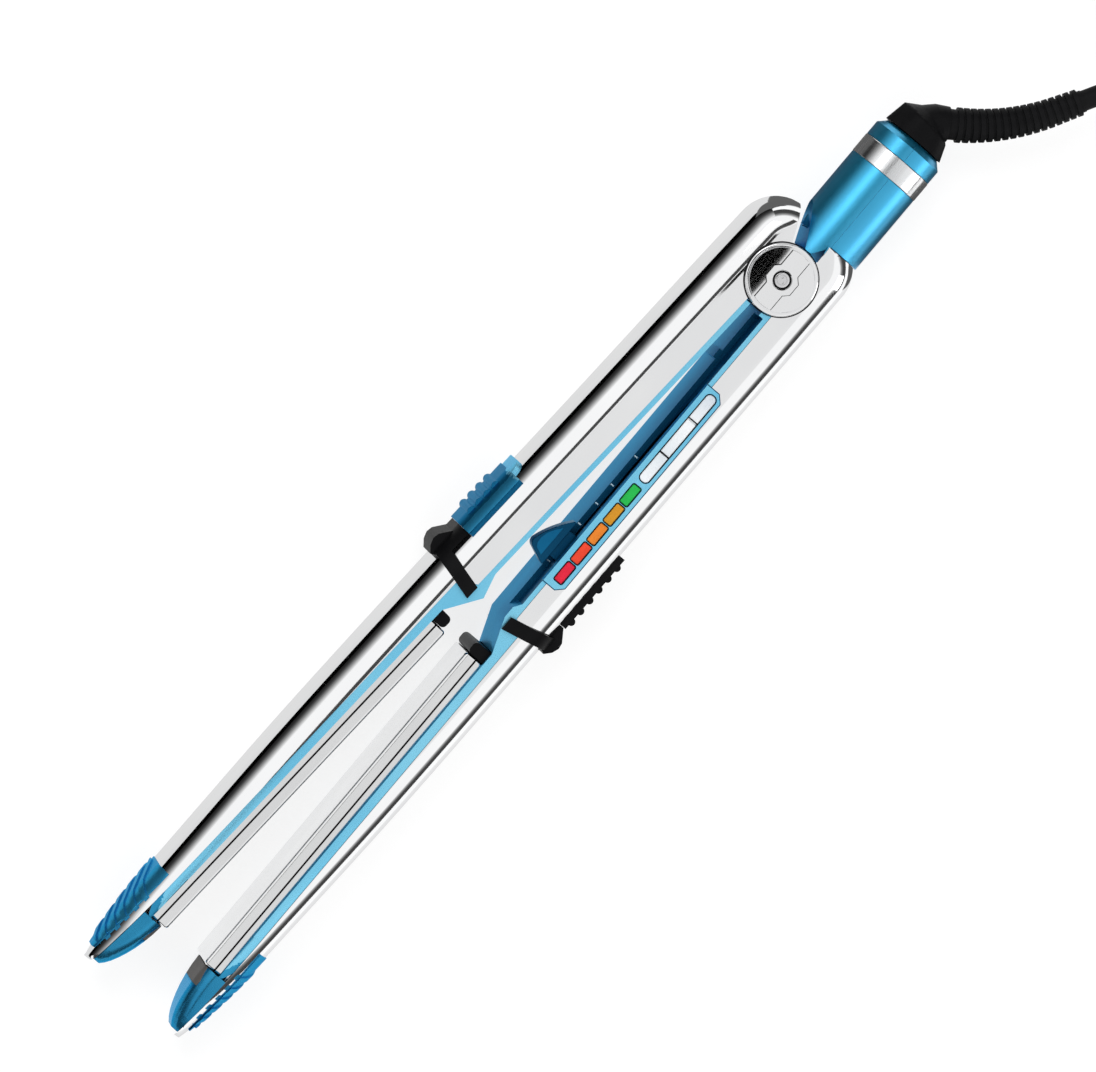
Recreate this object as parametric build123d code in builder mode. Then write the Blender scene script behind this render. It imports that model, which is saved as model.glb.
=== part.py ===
from build123d import *
import math
import os

os.makedirs("parts", exist_ok=True)

# A hair straightener lying on its side. Z is the hinge axis and points up, X runs from the hinge
# to the tips along the lower arm, and Y points from the closed plane into the lower arm.
# Both arms are drawn at y > 0 with the tool closed. The upper arm is mirrored and swung open.

# Driving sizes, in millimetres
BODY_WIDTH = 33.0
CAP_PROUD = 1.4
MID_Z = CAP_PROUD + BODY_WIDTH / 2
HALF_WIDTH = BODY_WIDTH / 2
OPEN_ANGLE = -3.2
PLATE_LENGTH = 127.0
PLATE_WIDTH = BODY_WIDTH - 5.0
PLATE_START = 151.3
PLATE_END = PLATE_START + PLATE_LENGTH
TIP_START = PLATE_END - 16.3
TIP_END = PLATE_END + 23.7
SHEET = 1.15
OUTSIDE = 60.0
FACE_GAP = 0.05
RUN_GAP = 0.3

# The casing's back, as distances from the closed plane; forms are drawn from a little past it
BASE_Y = -3.0
HEEL_CENTRE = (-8.5, 5.8)
HEEL_RADIUS = 14.0
BACK_AT_HINGE = 19.8
BACK_MID_HANDLE = (70.0, 19.1)
BACK_AT_COLLAR = (135.0, 18.5)
BACK_MID_PLATE = (TIP_START - 57.0, 17.35)
BACK_AT_TIP = 15.15
BACK_SLOPE_AT_TIP = 0.04
BACK_ROUND = 9.5

# Bullet tip: an elliptic plan drawn in even steps of angle
TIP_STEPS = 9
TIP_END_HALF = 3.0
TIP_BACK_DROP = (1.8, 1.9)
TIP_STEP = 0.03

# Levels between casing and liner, as distances from the closed plane
INNER_FACE = 1.9
UPPER_EDGE = 3.7
LOWER_EDGE = 5.2
HEATED_EDGE = 9.2
TRAY_FACE = 6.4
LINER_INSET = 0.35
LINER_TUCK = SHEET + FACE_GAP
LINER_WALL = 2.0
LINER_TOP = 13.0
CAVITY_FLOOR = 4.3
BEND_START = 135.5
BEND_END = 147.0

# Hinge
CAP_RADIUS = 11.6
KNUCKLE_RADIUS = 10.8
KNUCKLE_WELL = 11.2
PIN_RADIUS = 3.0
RUNNING_FIT = 0.05
EAR_HEIGHT = 3.3
EAR_UPPER_Z = CAP_PROUD + 0.3
WASHER_HEIGHT = 0.4
EAR_LOWER_Z = EAR_UPPER_Z + EAR_HEIGHT + WASHER_HEIGHT + 0.1
WASHER_RADIUS = 8.0
SPRING_WIRE = 1.2
SPRING_RADIUS = 5.6
SPRING_WELL = 7.5
SPRING_TURNS = 5
BAR_Y = (-3.4, 3.2)
BAR_RISE = 0.35
BOSS_RADIUS = 5.3
SCREW_HEAD_RADIUS = 2.4
SCREW_SEAT = 0.9
HEEL_CUT = [(-11.0, BASE_Y - 1.0), (-11.0, 5.7), (-24.0, 11.9), (-24.0, BASE_Y - 1.0)]

# Barrel, boot and strain relief
BARREL_Y = 6.3
BARREL_RADIUS = 12.4
BARREL_FRONT = -17.7
BARREL_NOSE = -12.2
BAND_FRONT = -45.7
BAND_REAR = -52.8
BARREL_REAR = -60.0
BARREL_WALL = 2.1
BARREL_CHAMFER = 2.4
BAND_DEPTH = 0.9
SCOOP_CUT = [(-9.0, 2.1), (-24.2, -5.3), (-28.0, -7.2), (-28.0, -20.0), (-9.0, -20.0)]
BEAK_CUT = [(-9.0, 0.5), (-17.7, 6.4), (-9.0, 6.4)]
BUSH_X = (-57.8, -56.1)
STEM_FRONT = -56.0
BOOT_SECTIONS = [
    (-60.3, 6.3, 0, 10.9),
    (-66.6, 6.0, 7, 9.3),
    (-68.2, 8.1, 19, 7.15),
    (-69.7, 9.4, 38, 6.3),
    (-71.2, 11.5, 57, 5.5),
]
NECK_RADIUS = 10.25
NECK_REAR = -43.0
STEM_RADIUS = 5.9
WIRE_BORE = 3.4
SLEEVE_START = (-71.2, 11.5)
SLEEVE_HEADING = 123.0
SLEEVE_TURN = 27.0
SLEEVE_BEND_RADIUS = 72.0
SLEEVE_STRAIGHT = 10.0
SLEEVE_CORE = (4.9, 3.5)
SLEEVE_STATIONS = 4
RIB_COUNT = 17
RIB_START = 2.6
RIB_PITCH = 2.4
RIB_WIDTH = 1.5
RIB_RISE = 0.75

# Cord: it is 2.5 m long, and what the photograph does not show lies in a round coil
CORD_DIAMETER = 6.6
CORD_LENGTH = 2500.0
LEAD_STRAIGHT = 20.0
LEAD_RISE_RUN = 20.0
LEAD_END_RUN = 26.0
LEAD_TURN = 12.0
COIL_LAYERS = 4
COIL_LAYER_TURNS = 2.5264
COIL_STEPS = 10
COIL_MIDDLE_RADIUS = 37.5
COIL_PITCH = CORD_DIAMETER + 0.6
COIL_LAYER_HEIGHT = CORD_DIAMETER + 0.5
TAIL_RUNS = (14.0, 15.0, 13.0)
PLUG_SLEEVE_LENGTH = 22.0
PLUG_LENGTH = 30.0
PLUG_WIDTH = 26.0
PLUG_HEIGHT = 14.0
BLADE_LENGTH = 17.0
BLADE_SPACING = 12.7
BLADE_THICKNESS = 1.5
BLADE_WIDTHS = (6.35, 7.9)

# Plate and what stands behind it
PLATE_FACE = 0.15
PLATE_GROOVE = 3.9
GROOVE_WIDTH = 0.5
GROOVE_DEPTH = 0.7
PLATE_BACK = 8.0
PLATE_EDGE_ROUND = 1.2
HEATER_BACK = 9.6
HEATER_HALF = 9.0
OPENING_HALF = PLATE_WIDTH / 2 + RUN_GAP
END_BLOCK_X = (146.9, 151.2)
END_BLOCK_ROUND = 1.6
INSULATOR_Y = 12.6
FUSE_RADIUS = 1.4
LEAF_HALF = 4.0
LEAF_REACH = 14.0

# Collars, grips and tips
GRIP_PROUD = 2.0
TIP_SKIN_PROUD = 0.45
TIP_RIB_PROUD = 1.0
TIP_RIB_COUNT = 6
TIP_RIB_PITCH = 5.0
TIP_RIB_WIDTH = 2.2
TIP_RIB_LEAN = 25.0
TIP_GRIP_LOW = 12.0
PAD_X = (PLATE_END + RUN_GAP, PLATE_END + 7.0)
PAD_Y = 3.2
PAD_HALF = 12.5
HOOK_HALF = 9.0
HOOK_X = (126.5, 132.5, 136.8)
LOWER_HOOK_REACH = 4.3
UPPER_HOOK_REACH = 4.3
COLLAR_BAND = [(134.3, 3.4), (139.0, 3.4), (134.5, 25.0), (129.8, 25.0)]
SADDLE_LOW = 16.7
SADDLE = [(124.0, SADDLE_LOW), (132.5, SADDLE_LOW), (132.5, 25.0), (124.0, 25.0)]
STOP_BUMP = 2.5
LOWER_CROWN = 0.3
UPPER_CROWN = 1.6
GRIP_RIB_START = 3.5
GRIP_RIB_PITCH = 4.4
GRIP_RIB_RADIUS = 1.3
GRIP_RIB_COUNT = 6
GRIP_RIB_RISE = 1.3
THUMB_RIDGES = 4
THUMB_RIDGE_START = 6.4
THUMB_RIDGE_PITCH = 3.6
THUMB_RIDGE_RADIUS = 1.6
THUMB_RIDGE_RISE = 0.7
THUMB_RIDGE_HALF = 10.5
TONGUE_LENGTH = 4.0
TONGUE_WIDTH = 22.0
LOWER_GRIP_X = (98.0, 126.4)
THUMB_GRIP_X = (101.0, 124.0)
TIP_GRIP_X = (TIP_START + 3.0, TIP_END - 4.0)
TIP_PLUG_END = TIP_END - 3.0
CONE_END = TIP_END - 1.5
CONE_STEPS = 8
CONE_INNER_Y = 1.4
CONE_DROP = 8.2
CONE_ROUND = 5.0
CONE_ROUND_SHARE = 0.85

# Light panel and slide switch
CHANNEL_X = (13.0, 129.0)
CHANNEL_FLOOR_Z = MID_Z + 6.5
CHANNEL_DEPTH = 1.7
CHANNEL_RAMP = 2.5
PANEL_X = (39.8, 119.0)
PANEL_Y = (INNER_FACE + CHANNEL_DEPTH, 10.5)
PANEL_FACE_Z = MID_Z + HALF_WIDTH + 0.3
PANEL_FLOOR_Z = MID_Z + HALF_WIDTH - 3.2
LENS_LENGTH = 7.1
LENS_WIDTH = 3.1
LENS_PITCH = 7.9
LENS_Y = 7.35
FIRST_LENS_X = 113.05
LENS_DEPTH = 1.4
LENS_CORNER = 0.6
LENS_NAMES = ["light_hottest", "light_hot", "light_medium", "light_warm", "light_power"]
PANEL_CORNER = 2.2
LABEL_X = (41.3, 75.8)
LABEL_WIDTH = 3.5
LABEL_SPLITS = (51.6, 65.0)
BOARD_X = (34.0, 128.0)
BOARD_Y = (8.0, 9.6)
BOARD_Z = (9.0, 30.8)
STOP_RIB_X = (28.4, 31.8)
STOP_RIB_RISE = 1.0
STOP_RIB_FLOOR_Z = 6.0
SWITCH_X = (58.5, 126.0)
SWITCH_Y = (4.35, 7.95)
SWITCH_HALF = 3.2
SHANK_X = (102.0, 112.0)
SHANK_HALF = 1.2
KNOB_X = (98.8, 115.5)
KNOB_PEAK_X = (110.4, 113.3)
KNOB_SLOPE_MIDDLE = (104.8, 5.8)
KNOB_HEIGHT = 8.2
KNOB_BASE_Y = INNER_FACE - 1.0
KNOB_FOOT = 0.6
KNOB_HALF = 2.8
KNOB_Z = CHANNEL_FLOOR_Z + 3.0
SLIDE_TRAVEL = 39.5


def in_arm(points, low_z, high_z):
    """Straight-sided block over an outline in the closed plane's X and Y."""
    with BuildPart() as block:
        with BuildSketch(Plane.XY.offset(low_z)):
            with BuildLine():
                Polyline(*points, close=True)
            make_face()
        extrude(amount=high_z - low_z)
    return block.part


def band(x_low, x_high, y_low, y_high, reach=OUTSIDE):
    """Block across the whole width between two places along X and two distances from the plane."""
    corners = [(x_low, y_low), (x_high, y_low), (x_high, y_high), (x_low, y_high)]
    return in_arm(corners, MID_Z - reach, MID_Z + reach)


def tip_half_width(share):
    """Half width of the tip at a share, 0 to 1, of its length."""
    return TIP_END_HALF + (HALF_WIDTH - TIP_END_HALF) * (1 - share**2) ** 0.55


def tip_back(share):
    """Distance of the tip's back from the closed plane at a share of its length."""
    return BACK_AT_TIP - TIP_BACK_DROP[0] * share - TIP_BACK_DROP[1] * share**3


def tip_section(share, inset):
    """One cross-section of the bullet tip, flat on the inner side and rounded at the back."""
    x = TIP_START + (TIP_END - TIP_START - inset) * share
    half = tip_half_width(share) - inset
    top = tip_back(share) - inset
    corner = min(BACK_ROUND, 0.75 * tip_half_width(share)) - inset
    with BuildSketch(Plane(origin=(x, 0, MID_Z), x_dir=(0, 0, 1), z_dir=(1, 0, 0))) as section:
        with BuildLine():
            Line((-half, -BASE_Y), (half, -BASE_Y))
            Line((half, -BASE_Y), (half, -top + corner))
            RadiusArc((half, -top + corner), (half - corner, -top), corner)
            Line((half - corner, -top), (-half + corner, -top))
            RadiusArc((-half + corner, -top), (-half, -top + corner), corner)
            Line((-half, -top + corner), (-half, -BASE_Y))
        make_face()
    return section.sketch


def handle_envelope(inset):
    """One arm's solid from heel to tip start, shrunk by the inset."""
    heel_x, heel_y = HEEL_CENTRE
    radius = HEEL_RADIUS - inset
    with BuildPart() as arm:
        with BuildSketch(Plane.XY.offset(MID_Z - HALF_WIDTH + inset)):
            with BuildLine():
                Spline(
                    (TIP_START, BACK_AT_TIP - inset),
                    (BACK_MID_PLATE[0], BACK_MID_PLATE[1] - inset),
                    (BACK_AT_COLLAR[0], BACK_AT_COLLAR[1] - inset),
                    (BACK_MID_HANDLE[0], BACK_MID_HANDLE[1] - inset),
                    (heel_x, BACK_AT_HINGE - inset),
                    tangents=((-1, BACK_SLOPE_AT_TIP), (-1, 0)),
                )
                CenterArc(HEEL_CENTRE, radius, 90, 90)
                Line((heel_x - radius, heel_y), (heel_x - radius, BASE_Y))
                Line((heel_x - radius, BASE_Y), (TIP_START, BASE_Y))
                Line((TIP_START, BASE_Y), (TIP_START, BACK_AT_TIP - inset))
            make_face()
        extrude(amount=2 * (HALF_WIDTH - inset))
        flat_edges = arm.edges().filter_by(lambda edge: edge.bounding_box().size.Z < 0.01)
        back_edges = flat_edges.filter_by(
            lambda edge: edge.center().Y > heel_y + 0.1 and edge.bounding_box().size.X > 5
        )
        fillet(back_edges, radius=BACK_ROUND - inset)
    return arm.part


def tip_envelope(inset):
    """The bullet end of one arm, shrunk by the inset, with a hairline step where it starts."""
    with BuildPart() as tip:
        for step in range(TIP_STEPS + 1):
            add(tip_section(math.sin(math.radians(90 * step / TIP_STEPS)), inset + TIP_STEP))
        loft(ruled=True)
    return tip.part


def arm_envelope(inset):
    """One arm's whole solid, shrunk by the inset."""
    with BuildPart() as whole:
        add(handle_envelope(inset))
        add(tip_envelope(inset))
    return whole.part


def upper_side(form):
    """Mirror a form of the lower arm to the upper arm and swing it to the open rest pose."""
    return form.mirror(Plane.XZ).rotate(Axis.Z, OPEN_ANGLE)


def along_z(radius, low_z, high_z, x=0.0, y=0.0):
    """Upright cylinder between two heights."""
    with BuildPart() as post:
        with BuildSketch(Plane.XY.offset(low_z)):
            with Locations((x, y)):
                Circle(radius)
        extrude(amount=high_z - low_z)
    return post.part


def along_x(radius, x_low, x_high, y, z=MID_Z):
    """Cylinder along X between two places."""
    with BuildPart() as rod:
        with BuildSketch(Plane(origin=(x_low, y, z), x_dir=(0, 1, 0), z_dir=(1, 0, 0))):
            Circle(radius)
        extrude(amount=x_high - x_low)
    return rod.part


ENVELOPE = arm_envelope(0.0)
ENVELOPE_SHEET = arm_envelope(SHEET)
ENVELOPE_FIT = arm_envelope(-FACE_GAP)
HANDLE_LINER = handle_envelope(LINER_INSET)
HANDLE_TUCK = handle_envelope(LINER_TUCK)
HANDLE_CAVITY = handle_envelope(LINER_TUCK + LINER_WALL)
HANDLE_COLLAR = handle_envelope(-CAP_PROUD)
HANDLE_GRIP = handle_envelope(-GRIP_PROUD)
TIP_LINER = tip_envelope(LINER_INSET)
TIP_TUCK = tip_envelope(LINER_TUCK)
TIP_SKIN = arm_envelope(-TIP_SKIN_PROUD)
TIP_RIBS = arm_envelope(-TIP_RIB_PROUD)


def casing_form(handle_edge):
    """Pressed steel channel of one arm, open to the closed plane, with its bullet end."""
    edges = [
        (-30.0, BASE_Y - 1.0),
        (-30.0, handle_edge),
        (BEND_START - 2.0, handle_edge),
        (BEND_START + 2.0, HEATED_EDGE),
        (TIP_END + 5.0, HEATED_EDGE),
        (TIP_END + 5.0, BASE_Y - 1.0),
    ]
    with BuildPart() as casing:
        add(ENVELOPE)
        add(ENVELOPE_SHEET, mode=Mode.SUBTRACT)
        add(in_arm(edges, -10.0, 50.0), mode=Mode.SUBTRACT)
        add(along_z(KNUCKLE_WELL, -10.0, 50.0), mode=Mode.SUBTRACT)
    return casing.part


def liner_form(handle_edge, bump, well_z):
    """Moulded inner frame of one arm: handle trough, bend and open frame round the plate."""
    outline = [
        (-30.0, INNER_FACE),
        (BEND_START - 8.0, INNER_FACE),
        (BEND_START, INNER_FACE - bump),
        (BEND_END, TRAY_FACE),
        (TIP_START, TRAY_FACE),
        (TIP_START, HEATED_EDGE - FACE_GAP),
        (BEND_START + 2.0, HEATED_EDGE - FACE_GAP),
        (BEND_START - 2.0, handle_edge - FACE_GAP),
        (-30.0, handle_edge - FACE_GAP),
    ]
    tuck = [
        (-30.0, handle_edge - 0.1),
        (BEND_START - 2.0, handle_edge - 0.1),
        (BEND_START + 2.0, HEATED_EDGE - 0.1),
        (TIP_START, HEATED_EDGE - 0.1),
        (TIP_START, LINER_TOP),
        (-30.0, LINER_TOP),
    ]
    with BuildPart() as visible:
        add(HANDLE_LINER)
        add(in_arm(outline, -10.0, 50.0), mode=Mode.INTERSECT)
    with BuildPart() as hidden:
        add(HANDLE_TUCK)
        add(in_arm(tuck, -10.0, 50.0), mode=Mode.INTERSECT)
    with BuildPart() as cavity:
        add(HANDLE_CAVITY)
        add(band(16.0, BEND_START - 6.0, CAVITY_FLOOR, 30.0), mode=Mode.INTERSECT)
    with BuildPart() as liner:
        add(visible.part)
        add(hidden.part)
        add(cavity.part, mode=Mode.SUBTRACT)
        add(band(END_BLOCK_X[0] - RUN_GAP, TIP_START + 1.0, -5.0, 30.0, OPENING_HALF), mode=Mode.SUBTRACT)
        add(along_z(KNUCKLE_WELL, *well_z), mode=Mode.SUBTRACT)
    return liner.part


def tip_cone_section(step):
    """One cross-section of the coloured tip, rounded on the side of the closed plane."""
    start = (PLATE_END + RUN_GAP - TIP_START) / (TIP_END - TIP_START)
    end = (CONE_END - TIP_START) / (TIP_END - TIP_START)
    first, last = math.asin(start), math.asin(end)
    share = math.sin(first + (last - first) * step / CONE_STEPS)
    along = (share - start) / (1 - start)
    x = TIP_START + (TIP_END - TIP_START) * share
    half = tip_half_width(share) - LINER_INSET
    inner = CONE_INNER_Y + CONE_DROP * (1 - math.sqrt(1 - along**2))
    corner = min(CONE_ROUND, CONE_ROUND_SHARE * (HEATED_EDGE - inner), CONE_ROUND_SHARE * half)
    top = -HEATED_EDGE + FACE_GAP
    side = -inner - corner
    with BuildSketch(Plane(origin=(x, 0, MID_Z), x_dir=(0, 0, 1), z_dir=(1, 0, 0))) as section:
        with BuildLine():
            Line((-half, top), (half, top))
            Line((half, top), (half, side))
            RadiusArc((half, side), (half - corner, -inner), -corner)
            Line((half - corner, -inner), (-half + corner, -inner))
            RadiusArc((-half + corner, -inner), (-half, side), -corner)
            Line((-half, side), (-half, top))
        make_face()
    return section.sketch


def tip_cone():
    """The tapered inner side of the tip, beyond the plate."""
    with BuildPart() as cone:
        for step in range(CONE_STEPS + 1):
            add(tip_cone_section(step))
        loft(ruled=True)
    return cone.part


def tip_form():
    """Heat-proof tip: rails beside the plate, a cone beyond it and a plug inside the casing."""
    cone_start = PLATE_END + RUN_GAP
    with BuildPart() as rails:
        add(TIP_LINER)
        add(band(TIP_START, cone_start, TRAY_FACE, HEATED_EDGE - FACE_GAP), mode=Mode.INTERSECT)
        add(band(TIP_START - 1.0, cone_start, -5.0, 30.0, OPENING_HALF), mode=Mode.SUBTRACT)
    with BuildPart() as plug:
        add(TIP_TUCK)
        add(band(cone_start, TIP_PLUG_END, HEATED_EDGE - 0.1, 30.0), mode=Mode.INTERSECT)
    with BuildPart() as tip:
        add(tip_cone())
        add(plug.part)
        add(rails.part)
        add(band(PAD_X[0] - 1.0, PAD_X[1], -5.0, PAD_Y, PAD_HALF), mode=Mode.SUBTRACT)
    return tip.part


def tip_pad_form():
    """Soft bumper let into the inner side of the tip, next to the plate."""
    with BuildPart() as pad:
        add(tip_cone())
        add(band(PAD_X[0] - 1.0, PAD_X[1], -5.0, PAD_Y, PAD_HALF), mode=Mode.INTERSECT)
    return pad.part


def tip_grip_form():
    """Ribbed cool-touch cover on the back of the tip, its ribs running aslant."""
    lean = math.radians(TIP_RIB_LEAN)
    with BuildPart() as ribs:
        for index in range(TIP_RIB_COUNT):
            x = TIP_GRIP_X[0] + 3.0 + index * TIP_RIB_PITCH
            with BuildSketch(Plane.XZ.offset(-30.0)):
                with BuildLine():
                    Polyline(
                        (x - 22.0 * math.tan(lean), MID_Z - 22.0),
                        (x + 22.0 * math.tan(lean), MID_Z + 22.0),
                        (x + 22.0 * math.tan(lean) + TIP_RIB_WIDTH, MID_Z + 22.0),
                        (x - 22.0 * math.tan(lean) + TIP_RIB_WIDTH, MID_Z - 22.0),
                        close=True,
                    )
                make_face()
            extrude(amount=30.0)
        add(TIP_RIBS, mode=Mode.INTERSECT)
        add(band(TIP_GRIP_X[0] + 1.0, TIP_GRIP_X[1] - 2.0, TIP_GRIP_LOW, 30.0), mode=Mode.INTERSECT)
    with BuildPart() as grip:
        add(TIP_SKIN)
        add(band(TIP_GRIP_X[0], TIP_GRIP_X[1], TIP_GRIP_LOW, 30.0), mode=Mode.INTERSECT)
        add(ribs.part)
        add(ENVELOPE_FIT, mode=Mode.SUBTRACT)
    return grip.part


def plate_form():
    """Floating heater plate: polished working block, groove and flange of one extrusion."""
    half = PLATE_WIDTH / 2
    with BuildPart() as plate:
        with BuildSketch(Plane(origin=(PLATE_START, 0, MID_Z), x_dir=(0, 1, 0), z_dir=(1, 0, 0))):
            with BuildLine():
                Polyline(
                    (PLATE_FACE, -half),
                    (PLATE_GROOVE, -half),
                    (PLATE_GROOVE, -half + GROOVE_DEPTH),
                    (PLATE_GROOVE + GROOVE_WIDTH, -half + GROOVE_DEPTH),
                    (PLATE_GROOVE + GROOVE_WIDTH, -half),
                    (PLATE_BACK, -half),
                    (PLATE_BACK, half),
                    (PLATE_GROOVE + GROOVE_WIDTH, half),
                    (PLATE_GROOVE + GROOVE_WIDTH, half - GROOVE_DEPTH),
                    (PLATE_GROOVE, half - GROOVE_DEPTH),
                    (PLATE_GROOVE, half),
                    (PLATE_FACE, half),
                    close=True,
                )
            make_face()
        extrude(amount=PLATE_LENGTH)
        fillet(plate.edges().filter_by(Axis.X).group_by(Axis.Y)[0], radius=PLATE_EDGE_ROUND)
    return plate.part


def heater_form():
    """Flat ceramic heater clamped to the back of the plate."""
    return band(PLATE_START + 8.0, PLATE_END - 8.0, PLATE_BACK, HEATER_BACK, HEATER_HALF)


def end_block_form(crown):
    """Heat-proof block between the bend of the liner and the plate."""
    with BuildPart() as block:
        add(band(END_BLOCK_X[0], END_BLOCK_X[1], crown, TRAY_FACE + 2.0, PLATE_WIDTH / 2))
        fillet(block.edges().filter_by(Axis.Z).group_by(Axis.Y)[0], radius=END_BLOCK_ROUND)
    return block.part


def insulator_form():
    """Heat shield: flat towards the heater, and its back bedded in the casing's back."""
    with BuildPart() as shield:
        add(HANDLE_TUCK)
        add(band(PLATE_START + 1.0, TIP_START - 4.0, INSULATOR_Y, 30.0, HEATER_HALF), mode=Mode.INTERSECT)
    return shield.part


def spring_form():
    """Two bowed leaf springs between the heat shield and the plate's heater."""
    with BuildPart() as springs:
        for middle in (PLATE_START + 30.0, PLATE_END - 40.0):
            with BuildSketch(Plane.XY.offset(MID_Z - LEAF_HALF)):
                with BuildLine():
                    ThreePointArc(
                        (middle - LEAF_REACH, INSULATOR_Y),
                        (middle, HEATER_BACK + 0.05),
                        (middle + LEAF_REACH, INSULATOR_Y),
                    )
                    Line((middle + LEAF_REACH, INSULATOR_Y), (middle + LEAF_REACH - 1.5, INSULATOR_Y))
                    ThreePointArc(
                        (middle + LEAF_REACH - 1.5, INSULATOR_Y),
                        (middle, HEATER_BACK + 0.35),
                        (middle - LEAF_REACH + 1.5, INSULATOR_Y),
                    )
                    Line((middle - LEAF_REACH + 1.5, INSULATOR_Y), (middle - LEAF_REACH, INSULATOR_Y))
                make_face()
            extrude(amount=2 * LEAF_HALF)
    return springs.part


def fuse_form():
    """Small round capsule clipped under the heat shield, ahead of the heater."""
    return along_x(FUSE_RADIUS, PLATE_START + 1.2, PLATE_START + 7.4, INSULATOR_Y - FUSE_RADIUS - FACE_GAP)


def collar_form(outlines, hook_outline):
    """Finger collar: a slanted band over the casing with a finger hook on its back."""
    with BuildPart() as collar:
        for outline in outlines:
            add(in_arm(outline, -5.0, 45.0))
        add(HANDLE_COLLAR, mode=Mode.INTERSECT)
        add(in_arm(hook_outline, MID_Z - HOOK_HALF, MID_Z + HOOK_HALF))
        add(ENVELOPE_FIT, mode=Mode.SUBTRACT)
    return collar.part


def hook_outline(reach):
    """Side view of the finger hook, from its foot towards the hinge to its steep front."""
    back = BACK_AT_COLLAR[1]
    return [
        (HOOK_X[0], back - 2.0),
        (HOOK_X[0], back + 1.2),
        (HOOK_X[1] - 2.0, back + reach - 0.3),
        (HOOK_X[1], back + reach),
        (HOOK_X[1] + 2.2, back + reach - 0.8),
        (HOOK_X[2], back + 1.6),
        (HOOK_X[2] - 2.0, back - 2.0),
    ]


def ring(outer, inner, low_z, high_z):
    """Flat ring round the hinge axis."""
    with BuildPart() as washer:
        add(along_z(outer, low_z, high_z))
        add(along_z(inner, low_z - 1.0, high_z + 1.0), mode=Mode.SUBTRACT)
    return washer.part


def mirrored_in_width(form):
    """The same form on the other side of the tool's middle plane."""
    return form.mirror(Plane.XY.offset(MID_Z))


def biarc(start, start_way, end, end_way):
    """Two tangent arcs that leave the start and reach the end in the given directions."""
    chord = end - start
    ways = start_way + end_way
    spread = 2 * (1 - start_way.dot(end_way))
    lean = chord.dot(ways)
    reach = (-lean + math.sqrt(lean**2 + spread * chord.dot(chord))) / spread
    first_corner = start + start_way * reach
    last_corner = end - end_way * reach
    joint = (first_corner + last_corner) * 0.5
    joint_way = (last_corner - first_corner).normalized()
    TangentArc(start, joint, tangent=start_way)
    TangentArc(joint, end, tangent=joint_way)


def coil_radius(turns):
    """Distance from the coil's axis after so many turns: in, out, in and out again."""
    width = COIL_PITCH * COIL_LAYER_TURNS
    layer = min(int(turns / COIL_LAYER_TURNS), COIL_LAYERS - 1)
    within = turns / COIL_LAYER_TURNS - layer
    outer = COIL_MIDDLE_RADIUS + width / 2
    inner = COIL_MIDDLE_RADIUS - width / 2
    if layer % 2 == 0:
        return outer - width * within
    return inner + width * within


def coil_height(turns):
    """Height of the cord's middle: level in a layer, and half a turn for each step down."""
    step_turns = COIL_LAYER_TURNS / COIL_STEPS
    height = CORD_DIAMETER / 2 + (COIL_LAYERS - 1) * COIL_LAYER_HEIGHT
    for layer in range(1, COIL_LAYERS):
        share = (turns - (layer * COIL_LAYER_TURNS - step_turns)) / (2 * step_turns)
        share = min(max(share, 0.0), 1.0)
        height -= COIL_LAYER_HEIGHT * (1 - math.cos(math.pi * share)) / 2
    return height


def coil_point(turns):
    """A point on the cord's middle line in the coil."""
    angle = math.radians(COIL_START_ANGLE + 360 * turns)
    radius = coil_radius(turns)
    return Vector(
        COIL_CENTRE[0] + radius * math.cos(angle),
        COIL_CENTRE[1] + radius * math.sin(angle),
        coil_height(turns),
    )


def coil_way(turns):
    """Direction of the cord in the coil, level with its circle where the spiral turns round."""
    step = 0.002
    end = COIL_LAYERS * COIL_LAYER_TURNS
    low = max(turns - step, 0.0)
    high = min(turns + step, end)
    return (coil_point(high) - coil_point(low)).normalized()


# Lower arm, the fixed body

panel_block = [
    (PANEL_X[0], PANEL_Y[0]),
    (PANEL_X[1], PANEL_Y[0]),
    (PANEL_X[1], PANEL_Y[1] - PANEL_CORNER),
    (PANEL_X[1] - PANEL_CORNER, PANEL_Y[1]),
    (PANEL_X[0] + PANEL_CORNER, PANEL_Y[1]),
    (PANEL_X[0], PANEL_Y[1] - PANEL_CORNER),
]
channel = [
    (CHANNEL_X[0], BASE_Y),
    (CHANNEL_X[0], INNER_FACE + CHANNEL_DEPTH),
    (CHANNEL_X[1], INNER_FACE + CHANNEL_DEPTH),
    (CHANNEL_X[1] + CHANNEL_RAMP, INNER_FACE),
    (CHANNEL_X[1] + CHANNEL_RAMP, BASE_Y),
]
stop_rib = [
    (STOP_RIB_X[0], INNER_FACE - STOP_RIB_RISE),
    (STOP_RIB_X[1], INNER_FACE - STOP_RIB_RISE),
    (STOP_RIB_X[1], INNER_FACE + 0.1),
    (STOP_RIB_X[0], INNER_FACE + 0.1),
]
lens_centres = [FIRST_LENS_X - index * LENS_PITCH for index in range(len(LENS_NAMES))]
shank_middle_x = (SHANK_X[0] + SHANK_X[1] - SLIDE_TRAVEL) / 2
shank_way_length = SHANK_X[1] - SHANK_X[0] + SLIDE_TRAVEL + 2 * RUN_GAP

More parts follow.
